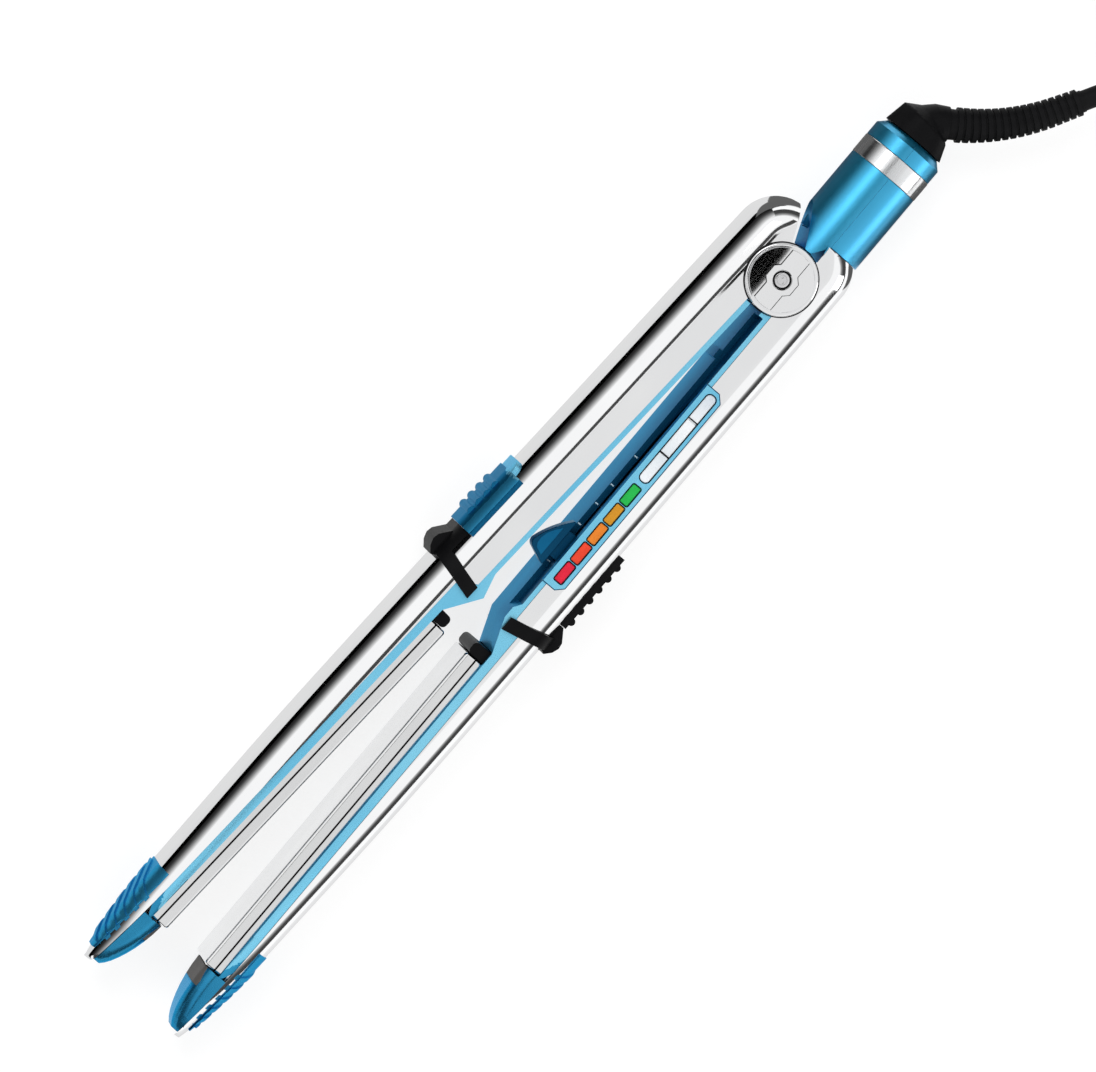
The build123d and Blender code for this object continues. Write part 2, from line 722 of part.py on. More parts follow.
with BuildPart() as lower_casing:
    add(casing_form(LOWER_EDGE))
    add(band(-OUTSIDE, BARREL_FRONT + RUN_GAP, BASE_Y, OUTSIDE), mode=Mode.SUBTRACT)
    add(in_arm(panel_block, PANEL_FLOOR_Z, 50.0), mode=Mode.SUBTRACT)
lower_casing.part.label = "lower_casing"
export_step(lower_casing.part, "parts/lower_casing.step")

with BuildPart() as lower_liner:
    add(liner_form(LOWER_EDGE, 0.0, (0.0, EAR_LOWER_Z)))
    add(mirrored_in_width(along_z(KNUCKLE_WELL, 0.0, EAR_LOWER_Z)), mode=Mode.SUBTRACT)
    add(band(-OUTSIDE, BARREL_FRONT + RUN_GAP, BASE_Y, OUTSIDE), mode=Mode.SUBTRACT)
    add(band(-OUTSIDE, -8.0, BASE_Y, BARREL_Y + RUN_GAP), mode=Mode.SUBTRACT)
    add(along_z(KNUCKLE_RADIUS, EAR_LOWER_Z, 2 * MID_Z - EAR_LOWER_Z))
    add(along_x(NECK_RADIUS, NECK_REAR, BARREL_FRONT - RUN_GAP, BARREL_Y))
    add(band(BARREL_FRONT - 1.0, -8.0, BARREL_Y + RUN_GAP, BARREL_Y + 8.0, 6.0))
    add(along_x(WIRE_BORE, NECK_REAR - 1.0, 17.0, BARREL_Y + 4.0), mode=Mode.SUBTRACT)
    hub_floor = EAR_LOWER_Z + EAR_HEIGHT
    add(along_z(SPRING_WELL, hub_floor, 2 * MID_Z - hub_floor), mode=Mode.SUBTRACT)
    add(along_z(PIN_RADIUS + RUNNING_FIT, 0.0, OUTSIDE), mode=Mode.SUBTRACT)
    add(in_arm(panel_block, PANEL_FLOOR_Z, 50.0), mode=Mode.SUBTRACT)
    add(in_arm(stop_rib, STOP_RIB_FLOOR_Z, CHANNEL_FLOOR_Z))
    add(in_arm(channel, CHANNEL_FLOOR_Z, OUTSIDE), mode=Mode.SUBTRACT)
    with BuildSketch(Plane.XZ.offset(-CAVITY_FLOOR - 1.0)):
        with Locations((shank_middle_x, KNOB_Z)):
            Rectangle(shank_way_length, 2 * SHANK_HALF + 2 * RUN_GAP)
    extrude(amount=CAVITY_FLOOR + 1.0, mode=Mode.SUBTRACT)
lower_liner.part.label = "lower_liner"
export_step(lower_liner.part, "parts/lower_liner.step")

with BuildPart() as lower_collar:
    add(collar_form([COLLAR_BAND], hook_outline(LOWER_HOOK_REACH)))
lower_collar.part.label = "lower_collar"
export_step(lower_collar.part, "parts/lower_collar.step")

with BuildPart() as lower_grip_pad:
    add(HANDLE_GRIP)
    add(band(LOWER_GRIP_X[0], LOWER_GRIP_X[1] - FACE_GAP, 10.0, OUTSIDE, HOOK_HALF), mode=Mode.INTERSECT)
    for index in range(GRIP_RIB_COUNT):
        rib_x = LOWER_GRIP_X[0] + GRIP_RIB_START + index * GRIP_RIB_PITCH
        with BuildSketch(Plane.XY.offset(MID_Z - HOOK_HALF + 0.5)):
            with Locations((rib_x, BACK_MID_HANDLE[1] + GRIP_RIB_RISE)):
                Circle(GRIP_RIB_RADIUS)
        extrude(amount=2 * HOOK_HALF - 1.0)
    add(ENVELOPE_FIT, mode=Mode.SUBTRACT)
lower_grip_pad.part.label = "lower_grip_pad"
export_step(lower_grip_pad.part, "parts/lower_grip_pad.step")

with BuildPart() as lower_tip:
    add(tip_form())
lower_tip.part.label = "lower_tip"
export_step(lower_tip.part, "parts/lower_tip.step")

with BuildPart() as lower_tip_pad:
    add(tip_pad_form())
lower_tip_pad.part.label = "lower_tip_pad"
export_step(lower_tip_pad.part, "parts/lower_tip_pad.step")

with BuildPart() as lower_tip_grip:
    add(tip_grip_form())
lower_tip_grip.part.label = "lower_tip_grip"
export_step(lower_tip_grip.part, "parts/lower_tip_grip.step")

with BuildPart() as lower_plate:
    add(plate_form())
lower_plate.part.label = "lower_plate"
export_step(lower_plate.part, "parts/lower_plate.step")

with BuildPart() as lower_heater:
    add(heater_form())
lower_heater.part.label = "lower_heater"
export_step(lower_heater.part, "parts/lower_heater.step")

with BuildPart() as lower_end_block:
    add(end_block_form(LOWER_CROWN))
lower_end_block.part.label = "lower_end_block"
export_step(lower_end_block.part, "parts/lower_end_block.step")

with BuildPart() as lower_heat_shield:
    add(insulator_form())
lower_heat_shield.part.label = "lower_heat_shield"
export_step(lower_heat_shield.part, "parts/lower_heat_shield.step")

with BuildPart() as lower_plate_springs:
    add(spring_form())
lower_plate_springs.part.label = "lower_plate_springs"
export_step(lower_plate_springs.part, "parts/lower_plate_springs.step")

with BuildPart() as thermal_fuse:
    add(fuse_form())
thermal_fuse.part.label = "thermal_fuse"
export_step(thermal_fuse.part, "parts/thermal_fuse.step")

with BuildPart() as light_panel:
    add(in_arm(panel_block, PANEL_FLOOR_Z, PANEL_FACE_Z))
    with BuildSketch(Plane.XY.offset(PANEL_FACE_Z)):
        for centre in lens_centres:
            with Locations((centre, LENS_Y)):
                RectangleRounded(LENS_LENGTH, LENS_WIDTH, LENS_CORNER)
        with Locations(((LABEL_X[0] + LABEL_X[1]) / 2, LENS_Y)):
            RectangleRounded(LABEL_X[1] - LABEL_X[0], LABEL_WIDTH, LABEL_WIDTH * 0.45)
    extrude(amount=-LENS_DEPTH, mode=Mode.SUBTRACT)
light_panel.part.label = "light_panel"
export_step(light_panel.part, "parts/light_panel.step")

for name, centre in zip(LENS_NAMES, lens_centres):
    with BuildPart() as lens:
        with BuildSketch(Plane.XY.offset(PANEL_FACE_Z - LENS_DEPTH)):
            with Locations((centre, LENS_Y)):
                RectangleRounded(LENS_LENGTH - 0.1, LENS_WIDTH - 0.1, LENS_CORNER - 0.05)
        extrude(amount=LENS_DEPTH - 0.2)
    lens.part.label = name
    export_step(lens.part, "parts/" + name + ".step")

with BuildPart() as label_window:
    with BuildSketch(Plane.XY.offset(PANEL_FACE_Z - LENS_DEPTH)):
        with Locations(((LABEL_X[0] + LABEL_X[1]) / 2, LENS_Y)):
            RectangleRounded(LABEL_X[1] - LABEL_X[0] - 0.1, LABEL_WIDTH - 0.1, LABEL_WIDTH * 0.45 - 0.05)
    extrude(amount=LENS_DEPTH - 0.2)
    with BuildSketch(Plane.XY.offset(PANEL_FACE_Z)):
        with Locations(*[(x, LENS_Y) for x in LABEL_SPLITS]):
            Rectangle(0.5, LABEL_WIDTH)
    extrude(amount=-0.5, mode=Mode.SUBTRACT)
label_window.part.label = "label_window"
export_step(label_window.part, "parts/label_window.step")

with BuildPart() as circuit_board:
    with BuildSketch(Plane.XY.offset(BOARD_Z[0])):
        with Locations(((BOARD_X[0] + BOARD_X[1]) / 2, (BOARD_Y[0] + BOARD_Y[1]) / 2)):
            Rectangle(BOARD_X[1] - BOARD_X[0], BOARD_Y[1] - BOARD_Y[0])
    extrude(amount=BOARD_Z[1] - BOARD_Z[0])
circuit_board.part.label = "circuit_board"
export_step(circuit_board.part, "parts/circuit_board.step")

with BuildPart() as slide_switch:
    with BuildSketch(Plane.XZ.offset(-SWITCH_Y[0])):
        with Locations(((SWITCH_X[0] + SWITCH_X[1]) / 2, KNOB_Z)):
            Rectangle(SWITCH_X[1] - SWITCH_X[0], 2 * SWITCH_HALF)
    extrude(amount=-(SWITCH_Y[1] - SWITCH_Y[0]))
    with BuildSketch(Plane.XZ.offset(-SWITCH_Y[0])):
        with Locations((shank_middle_x, KNOB_Z)):
            Rectangle(shank_way_length, 2 * SHANK_HALF + 2 * RUN_GAP)
    extrude(amount=-2.4, mode=Mode.SUBTRACT)
slide_switch.part.label = "slide_switch"
export_step(slide_switch.part, "parts/slide_switch.step")

with BuildPart() as slider_knob:
    with BuildSketch(Plane.XY.offset(KNOB_Z - KNOB_HALF)):
        with BuildLine():
            slope_foot = (KNOB_X[0], KNOB_BASE_Y - KNOB_FOOT)
            peak = (KNOB_PEAK_X[0], INNER_FACE - KNOB_HEIGHT)
            brow = (KNOB_PEAK_X[1], INNER_FACE - KNOB_HEIGHT + 1.3)
            ThreePointArc(slope_foot, (KNOB_SLOPE_MIDDLE[0], INNER_FACE - KNOB_SLOPE_MIDDLE[1]), peak)
            ThreePointArc(peak, (KNOB_PEAK_X[1] - 1.0, INNER_FACE - KNOB_HEIGHT + 0.15), brow)
            Polyline(
                brow,
                (KNOB_X[1], KNOB_BASE_Y - KNOB_FOOT),
                (KNOB_X[1], KNOB_BASE_Y),
                (KNOB_X[0], KNOB_BASE_Y),
                slope_foot,
            )
        make_face()
    extrude(amount=2 * KNOB_HALF)
    add(
        in_arm(
            [
                (SHANK_X[0], KNOB_BASE_Y - KNOB_FOOT),
                (SHANK_X[1], KNOB_BASE_Y - KNOB_FOOT),
                (SHANK_X[1], CAVITY_FLOOR + 2.1),
                (SHANK_X[0], CAVITY_FLOOR + 2.1),
            ],
            KNOB_Z - SHANK_HALF,
            KNOB_Z + SHANK_HALF,
        )
    )
slider_knob.part.label = "slider_knob"
export_step(slider_knob.part, "parts/slider_knob.step")

# Hinge

with BuildPart() as hinge_cap_top:
    add(along_z(CAP_RADIUS, 2 * MID_Z - CAP_PROUD, 2 * MID_Z))
    chamfer(hinge_cap_top.edges().filter_by(GeomType.CIRCLE).group_by(Axis.Z)[-1], length=0.5)
    with BuildSketch(Plane.XY.offset(2 * MID_Z)):
        Circle(CAP_RADIUS - 1.2)
        with Locations((0, (BAR_Y[0] + BAR_Y[1]) / 2)):
            Rectangle(2 * CAP_RADIUS, BAR_Y[1] - BAR_Y[0], mode=Mode.INTERSECT)
        RegularPolygon(BOSS_RADIUS, 8, rotation=22.5)
    extrude(amount=BAR_RISE)
    with BuildSketch(Plane.XY.offset(2 * MID_Z + BAR_RISE)):
        Circle(SCREW_HEAD_RADIUS + 0.6)
    extrude(amount=-SCREW_SEAT, mode=Mode.SUBTRACT)
hinge_cap_top.part.label = "hinge_cap_top"
export_step(hinge_cap_top.part, "parts/hinge_cap_top.step")

with BuildPart() as hinge_cap_bottom:
    add(along_z(CAP_RADIUS, 0.0, CAP_PROUD))
    chamfer(hinge_cap_bottom.edges().filter_by(GeomType.CIRCLE).group_by(Axis.Z)[0], length=0.5)
hinge_cap_bottom.part.label = "hinge_cap_bottom"
export_step(hinge_cap_bottom.part, "parts/hinge_cap_bottom.step")

with BuildPart() as hinge_screw:
    add(along_z(SCREW_HEAD_RADIUS, 2 * MID_Z + BAR_RISE - SCREW_SEAT, 2 * MID_Z + BAR_RISE - 0.2))
hinge_screw.part.label = "hinge_screw"
export_step(hinge_screw.part, "parts/hinge_screw.step")

with BuildPart() as hinge_pin:
    add(along_z(PIN_RADIUS, CAP_PROUD, 2 * MID_Z - CAP_PROUD))
hinge_pin.part.label = "hinge_pin"
export_step(hinge_pin.part, "parts/hinge_pin.step")

washer_low = EAR_UPPER_Z + EAR_HEIGHT + FACE_GAP
with BuildPart() as hinge_washers:
    add(ring(WASHER_RADIUS, PIN_RADIUS + RUNNING_FIT, washer_low, washer_low + WASHER_HEIGHT))
    add(mirrored_in_width(hinge_washers.part))
hinge_washers.part.label = "hinge_washers"
export_step(hinge_washers.part, "parts/hinge_washers.step")

spring_low = EAR_LOWER_Z + EAR_HEIGHT + SPRING_WIRE / 2 + FACE_GAP
spring_rise = (2 * (MID_Z - spring_low)) / SPRING_TURNS


def spring_point(turns):
    """A point on the middle line of the opening spring's wire."""
    angle = 2 * math.pi * turns
    across = SPRING_RADIUS * math.cos(angle)
    along = SPRING_RADIUS * math.sin(angle)
    return Vector(across, along, spring_low + spring_rise * turns)


def spring_way(turns):
    """Direction of the opening spring's wire."""
    return (spring_point(turns + 0.001) - spring_point(turns - 0.001)).normalized()


with BuildPart() as opening_spring:
    with BuildLine() as spring_line:
        for step in range(2 * SPRING_TURNS):
            low, high = step / 2, (step + 1) / 2
            biarc(spring_point(low), spring_way(low), spring_point(high), spring_way(high))
    with BuildSketch(Plane(origin=spring_point(0), z_dir=spring_way(0))):
        Circle(SPRING_WIRE / 2)
    sweep(path=spring_line.wires()[0])
opening_spring.part.label = "opening_spring"
export_step(opening_spring.part, "parts/opening_spring.step")

# Barrel

with BuildPart() as barrel_form:
    add(along_x(BARREL_RADIUS, BARREL_REAR, BARREL_NOSE, BARREL_Y))
    chamfer(barrel_form.edges().filter_by(GeomType.CIRCLE).group_by(Axis.X)[0], length=BARREL_CHAMFER)
    neck_bore = along_x(NECK_RADIUS + FACE_GAP, BARREL_REAR + BARREL_WALL, BARREL_FRONT - 0.1, BARREL_Y)
    stem_bore = along_x(STEM_RADIUS + RUNNING_FIT, BARREL_REAR - 1.0, BARREL_FRONT - 1.0, BARREL_Y)
    add(neck_bore, mode=Mode.SUBTRACT)
    add(stem_bore, mode=Mode.SUBTRACT)
    with BuildSketch(Plane(origin=(BAND_REAR, BARREL_Y, MID_Z), x_dir=(0, 1, 0), z_dir=(1, 0, 0))):
        Circle(BARREL_RADIUS + 1.0)
        Circle(BARREL_RADIUS - BAND_DEPTH, mode=Mode.SUBTRACT)
    extrude(amount=BAND_FRONT - BAND_REAR, mode=Mode.SUBTRACT)

with BuildPart() as barrel_half_upper:
    add(barrel_form.part)
    add(band(BARREL_REAR - 20.0, 20.0, BARREL_Y - FACE_GAP / 2, OUTSIDE), mode=Mode.SUBTRACT)
    add(in_arm(SCOOP_CUT, -10.0, 50.0), mode=Mode.SUBTRACT)
    add(in_arm(BEAK_CUT, -10.0, 50.0), mode=Mode.SUBTRACT)
    add(along_z(KNUCKLE_WELL, -5.0, 45.0), mode=Mode.SUBTRACT)
barrel_half_upper.part.label = "barrel_half_upper"
export_step(barrel_half_upper.part, "parts/barrel_half_upper.step")

with BuildPart() as barrel_half_lower:
    add(barrel_form.part)
    add(band(BARREL_REAR - 20.0, 20.0, -OUTSIDE, BARREL_Y + FACE_GAP / 2), mode=Mode.SUBTRACT)
    add(band(BARREL_FRONT, 20.0, -OUTSIDE, OUTSIDE), mode=Mode.SUBTRACT)
    add(along_x(NECK_RADIUS + FACE_GAP, NECK_REAR, 0.0, BARREL_Y), mode=Mode.SUBTRACT)
barrel_half_lower.part.label = "barrel_half_lower"
export_step(barrel_half_lower.part, "parts/barrel_half_lower.step")

with BuildPart() as barrel_band:
    with BuildSketch(Plane(origin=(BAND_REAR + FACE_GAP, BARREL_Y, MID_Z), x_dir=(0, 1, 0), z_dir=(1, 0, 0))):
        Circle(BARREL_RADIUS + 0.1)
        Circle(BARREL_RADIUS - BAND_DEPTH + FACE_GAP, mode=Mode.SUBTRACT)
    extrude(amount=BAND_FRONT - BAND_REAR - 2 * FACE_GAP)
barrel_band.part.label = "barrel_band"
export_step(barrel_band.part, "parts/barrel_band.step")

with BuildPart() as swivel_bush:
    with BuildSketch(Plane(origin=(BUSH_X[0], BARREL_Y, MID_Z), x_dir=(0, 1, 0), z_dir=(1, 0, 0))):
        Circle(NECK_RADIUS)
        Circle(STEM_RADIUS + RUNNING_FIT, mode=Mode.SUBTRACT)
    extrude(amount=BUSH_X[1] - BUSH_X[0])
swivel_bush.part.label = "swivel_bush"
export_step(swivel_bush.part, "parts/swivel_bush.step")

# Swivel: boot, strain relief, cord and plug

with BuildPart() as swivel_boot:
    for x, y, heading, radius in BOOT_SECTIONS:
        way = (-math.cos(math.radians(heading)), math.sin(math.radians(heading)), 0)
        with BuildSketch(Plane(origin=(x, y, MID_Z), x_dir=(0, 0, 1), z_dir=way)):
            Circle(radius)
    loft(ruled=True)
    add(along_x(STEM_RADIUS, BARREL_REAR - 2.0, STEM_FRONT, BARREL_Y))
    add(along_x(STEM_RADIUS + 2.0, STEM_FRONT, STEM_FRONT + 2.0, BARREL_Y))
swivel_boot.part.label = "swivel_boot"
export_step(swivel_boot.part, "parts/swivel_boot.step")

sleeve_way = (math.cos(math.radians(SLEEVE_HEADING)), math.sin(math.radians(SLEEVE_HEADING)), 0)


def sleeve_core(along):
    """Radius of the strain relief's core at a share of its length."""
    return SLEEVE_CORE[0] + (SLEEVE_CORE[1] - SLEEVE_CORE[0]) * along


with BuildPart() as strain_relief:
    with BuildLine() as sleeve_line:
        sleeve_arc = JernArc(
            (SLEEVE_START[0], SLEEVE_START[1], MID_Z),
            tangent=sleeve_way,
            radius=SLEEVE_BEND_RADIUS,
            arc_size=SLEEVE_TURN,
        )
        Line(sleeve_arc @ 1, (sleeve_arc @ 1) + (sleeve_arc % 1) * SLEEVE_STRAIGHT)
    sleeve = sleeve_line.wires()[0]
    for step in range(SLEEVE_STATIONS + 1):
        along = step / SLEEVE_STATIONS
        with BuildSketch(Plane(origin=sleeve @ along, x_dir=(0, 0, 1), z_dir=sleeve % along)):
            Circle(sleeve_core(along))
    loft(ruled=False)
    for index in range(RIB_COUNT):
        along = (RIB_START + index * RIB_PITCH) / sleeve.length
        with BuildSketch(Plane(origin=sleeve @ along, x_dir=(0, 0, 1), z_dir=sleeve % along)):
            Circle(sleeve_core(along) + RIB_RISE)
        extrude(amount=RIB_WIDTH)
strain_relief.part.label = "strain_relief"
export_step(strain_relief.part, "parts/strain_relief.step")

lead_start = sleeve @ 1
lead_way = (sleeve % 1).normalized()
coil_in_way = lead_way.rotate(Axis.Z, LEAD_TURN)
side_way = Vector(-coil_in_way.Y, coil_in_way.X, 0)
coil_top = CORD_DIAMETER / 2 + (COIL_LAYERS - 1) * COIL_LAYER_HEIGHT
lift = Vector(0, 0, coil_top - MID_Z)
lead_points = [
    lead_start,
    lead_start + lead_way * LEAD_STRAIGHT,
    lead_start + lead_way * LEAD_STRAIGHT + coil_in_way * LEAD_RISE_RUN + lift,
    lead_start + lead_way * LEAD_STRAIGHT + coil_in_way * (LEAD_RISE_RUN + LEAD_END_RUN) + lift,
]
coil_touch = lead_points[-1] + coil_in_way * CORD_DIAMETER
coil_outer = COIL_MIDDLE_RADIUS + COIL_PITCH * COIL_LAYER_TURNS / 2
coil_middle = coil_touch + side_way * coil_outer
COIL_CENTRE = (coil_middle.X, coil_middle.Y)
COIL_START_ANGLE = math.degrees(math.atan2(coil_touch.Y - coil_middle.Y, coil_touch.X - coil_middle.X))


def turn_radii(points):
    """Largest radius at each corner of a route: 0.45 of the shorter run over the half turn's tangent."""
    radii = []
    for before, corner, after in zip(points, points[1:], points[2:]):
        run_in = corner - before
        run_out = after - corner
        half_turn = math.radians(run_in.get_angle(run_out)) / 2
        radii.append(0.45 * min(run_in.length, run_out.length) / math.tan(half_turn))
    return radii


def check_tube(name, tube, path, radii):
    """Print a tube's bend radii and compare its volume with section times length."""
    section = math.pi * CORD_DIAMETER**2 / 4
    share = tube.volume / (section * path.length)
    bends = [round(radius, 1) for radius in radii]
    print(name, "length", round(path.length, 1), "radii", bends, "volume share", round(share, 4))


with BuildPart() as cord_lead:
    lead_radii = turn_radii(lead_points)
    with BuildLine() as lead_line:
        FilletPolyline(*lead_points, radius=lead_radii)
    lead = lead_line.wires()[0]
    with BuildSketch(Plane(origin=lead_start, z_dir=lead_way)):
        Circle(CORD_DIAMETER / 2)
    sweep(path=lead)
cord_lead.part.label = "cord_lead"
export_step(cord_lead.part, "parts/cord_lead.step")
check_tube("cord_lead", cord_lead.part, lead, lead_radii)

coil_turns = COIL_LAYERS * COIL_LAYER_TURNS
coil_end = coil_point(coil_turns)
coil_end_way = coil_way(coil_turns)
tail_start = coil_end + coil_end_way * CORD_DIAMETER
with BuildPart() as cord_coil:
    with BuildLine() as coil_line:
        Line(lead_points[-1], coil_point(0))
        for step in range(COIL_LAYERS * COIL_STEPS):
            low = step * COIL_LAYER_TURNS / COIL_STEPS
            high = (step + 1) * COIL_LAYER_TURNS / COIL_STEPS
            low_way = coil_in_way if step == 0 else coil_way(low)
            biarc(coil_point(low), low_way, coil_point(high), coil_way(high))
        Line(coil_end, tail_start)
    coil = coil_line.wires()[0]
    with BuildSketch(Plane(origin=lead_points[-1], z_dir=coil_in_way)):
        Circle(CORD_DIAMETER / 2)
    sweep(path=coil)
cord_coil.part.label = "cord_coil"
export_step(cord_coil.part, "parts/cord_coil.step")
check_tube("cord_coil", cord_coil.part, coil, [coil_radius(0), coil_radius(COIL_LAYER_TURNS)])

COIL_SAMPLES = 60
samples = [coil_point(i / COIL_SAMPLES) for i in range(int(coil_turns * COIL_SAMPLES))]
skip = COIL_SAMPLES // 2
self_gap = min(
    (samples[i] - samples[j]).length - CORD_DIAMETER
    for i in range(len(samples))
    for j in range(i + skip, len(samples))
)
print("coil least self-gap", round(self_gap, 2))

plug_lift = Vector(0, 0, PLUG_HEIGHT / 2 - CORD_DIAMETER / 2)
tail_points = [
    tail_start,
    tail_start + coil_end_way * TAIL_RUNS[0],
    tail_start + coil_end_way * (TAIL_RUNS[0] + TAIL_RUNS[1]) + plug_lift,
    tail_start + coil_end_way * sum(TAIL_RUNS) + plug_lift,
]
with BuildPart() as cord_tail:
    tail_radii = turn_radii(tail_points)
    with BuildLine() as tail_line:
        FilletPolyline(*tail_points, radius=tail_radii)
    tail = tail_line.wires()[0]
    with BuildSketch(Plane(origin=tail_start, z_dir=coil_end_way)):
        Circle(CORD_DIAMETER / 2)
    sweep(path=tail)
cord_tail.part.label = "cord_tail"
export_step(cord_tail.part, "parts/cord_tail.step")
check_tube("cord_tail", cord_tail.part, tail, tail_radii)
print("cord in all", round(lead.length + coil.length + tail.length, 1), "of", CORD_LENGTH)

plug_start = tail_points[-1]
plug_plane = Plane(origin=plug_start, x_dir=Vector(0, 0, 1).cross(coil_end_way), z_dir=coil_end_way)
with BuildPart() as plug_body:
    with BuildSketch(plug_plane):
        Circle(CORD_DIAMETER / 2 + 0.8)
    with BuildSketch(plug_plane.offset(PLUG_SLEEVE_LENGTH)):
        Circle(CORD_DIAMETER / 2 + 2.4)
    loft()
    with BuildSketch(plug_plane.offset(PLUG_SLEEVE_LENGTH)):
        RectangleRounded(PLUG_WIDTH, PLUG_HEIGHT, PLUG_HEIGHT * 0.4)
    extrude(amount=PLUG_LENGTH)
plug_body.part.label = "plug_body"
export_step(plug_body.part, "parts/plug_body.step")

with BuildPart() as plug_blades:
    for side, width in zip((-1, 1), BLADE_WIDTHS):
        with BuildSketch(plug_plane.offset(PLUG_SLEEVE_LENGTH + PLUG_LENGTH)):
            with Locations((side * BLADE_SPACING / 2, 0)):
                Rectangle(BLADE_THICKNESS, width)
        extrude(amount=BLADE_LENGTH)
plug_blades.part.label = "plug_blades"
export_step(plug_blades.part, "parts/plug_blades.step")

# Upper arm


def upper_casing_form():
    """The upper channel, its heel cut off aslant to clear the barrel."""
    with BuildPart() as form:
        add(casing_form(UPPER_EDGE))
        add(in_arm(HEEL_CUT, -10.0, 50.0), mode=Mode.SUBTRACT)
    return form.part


def upper_liner_form():
    """The upper inner frame, with the hinge ears, the pointed stop and the knob's groove."""
    ear_top = EAR_UPPER_Z + EAR_HEIGHT
    groove_x = (KNOB_X[0] - SLIDE_TRAVEL - 1.5, KNOB_X[1] + 2.0)
    with BuildPart() as form:
        add(liner_form(UPPER_EDGE, STOP_BUMP, (ear_top + FACE_GAP, 2 * MID_Z - ear_top - FACE_GAP)))
        add(in_arm(HEEL_CUT, -10.0, 50.0), mode=Mode.SUBTRACT)
        add(band(-8.0, 12.0, BASE_Y - 1.0, 4.0), mode=Mode.SUBTRACT)
        add(along_z(KNUCKLE_RADIUS, EAR_UPPER_Z, ear_top))
        add(mirrored_in_width(along_z(KNUCKLE_RADIUS, EAR_UPPER_Z, ear_top)))
        add(along_z(PIN_RADIUS + RUNNING_FIT, 0.0, OUTSIDE), mode=Mode.SUBTRACT)
        add(
            in_arm(
                [
                    (groove_x[0], BASE_Y - 1.0),
                    (groove_x[1], BASE_Y - 1.0),
                    (groove_x[1], KNOB_HEIGHT + 1.0),
                    (groove_x[0], KNOB_HEIGHT + 1.0),
                ],
                KNOB_Z - KNOB_HALF - 0.8,
                KNOB_Z + KNOB_HALF + 0.8,
            ),
            mode=Mode.SUBTRACT,
        )
    return form.part


def thumb_tongue():
    """Thin rounded lip at the thumb grip's end towards the hinge."""
    with BuildPart() as lip:
        with BuildSketch(Plane.XZ.offset(-OUTSIDE)):
            with Locations((THUMB_GRIP_X[0], MID_Z)):
                RectangleRounded(TONGUE_LENGTH * 2, TONGUE_WIDTH, TONGUE_LENGTH - 0.4)
        extrude(amount=OUTSIDE - SADDLE_LOW)
        add(HANDLE_COLLAR, mode=Mode.INTERSECT)
    return lip.part


def thumb_grip_form():
    """Blue thumb rest behind the upper collar, with cross ridges and a rounded tongue."""
    with BuildPart() as form:
        add(HANDLE_GRIP)
        add(band(THUMB_GRIP_X[0], THUMB_GRIP_X[1] - FACE_GAP, SADDLE_LOW, OUTSIDE), mode=Mode.INTERSECT)
        for index in range(THUMB_RIDGES):
            ridge_x = THUMB_GRIP_X[0] + THUMB_RIDGE_START + index * THUMB_RIDGE_PITCH
            with BuildSketch(Plane.XY.offset(MID_Z - THUMB_RIDGE_HALF)):
                with Locations((ridge_x, BACK_MID_HANDLE[1] + THUMB_RIDGE_RISE)):
                    Circle(THUMB_RIDGE_RADIUS)
            extrude(amount=2 * THUMB_RIDGE_HALF)
        add(thumb_tongue())
        add(ENVELOPE_FIT, mode=Mode.SUBTRACT)
    return form.part


with BuildPart() as upper_casing:
    add(upper_side(upper_casing_form()))
upper_casing.part.label = "upper_casing"
export_step(upper_casing.part, "parts/upper_casing.step")

with BuildPart() as upper_liner:
    add(upper_side(upper_liner_form()))
upper_liner.part.label = "upper_liner"
export_step(upper_liner.part, "parts/upper_liner.step")

with BuildPart() as upper_collar:
    add(upper_side(collar_form([COLLAR_BAND, SADDLE], hook_outline(UPPER_HOOK_REACH))))
upper_collar.part.label = "upper_collar"
export_step(upper_collar.part, "parts/upper_collar.step")

with BuildPart() as thumb_grip:
    add(upper_side(thumb_grip_form()))
thumb_grip.part.label = "thumb_grip"
export_step(thumb_grip.part, "parts/thumb_grip.step")

with BuildPart() as upper_tip:
    add(upper_side(tip_form()))
upper_tip.part.label = "upper_tip"
export_step(upper_tip.part, "parts/upper_tip.step")

with BuildPart() as upper_tip_pad:
    add(upper_side(tip_pad_form()))
upper_tip_pad.part.label = "upper_tip_pad"
export_step(upper_tip_pad.part, "parts/upper_tip_pad.step")

with BuildPart() as upper_tip_grip:
    add(upper_side(tip_grip_form()))
upper_tip_grip.part.label = "upper_tip_grip"
export_step(upper_tip_grip.part, "parts/upper_tip_grip.step")

with BuildPart() as upper_plate:
    add(upper_side(plate_form()))
upper_plate.part.label = "upper_plate"
export_step(upper_plate.part, "parts/upper_plate.step")

with BuildPart() as upper_heater:
    add(upper_side(heater_form()))
upper_heater.part.label = "upper_heater"
export_step(upper_heater.part, "parts/upper_heater.step")

with BuildPart() as upper_end_block:
    add(upper_side(end_block_form(UPPER_CROWN)))
upper_end_block.part.label = "upper_end_block"
export_step(upper_end_block.part, "parts/upper_end_block.step")

with BuildPart() as upper_heat_shield:
    add(upper_side(insulator_form()))
upper_heat_shield.part.label = "upper_heat_shield"
export_step(upper_heat_shield.part, "parts/upper_heat_shield.step")

with BuildPart() as upper_plate_springs:
    add(upper_side(spring_form()))
upper_plate_springs.part.label = "upper_plate_springs"
export_step(upper_plate_springs.part, "parts/upper_plate_springs.step")

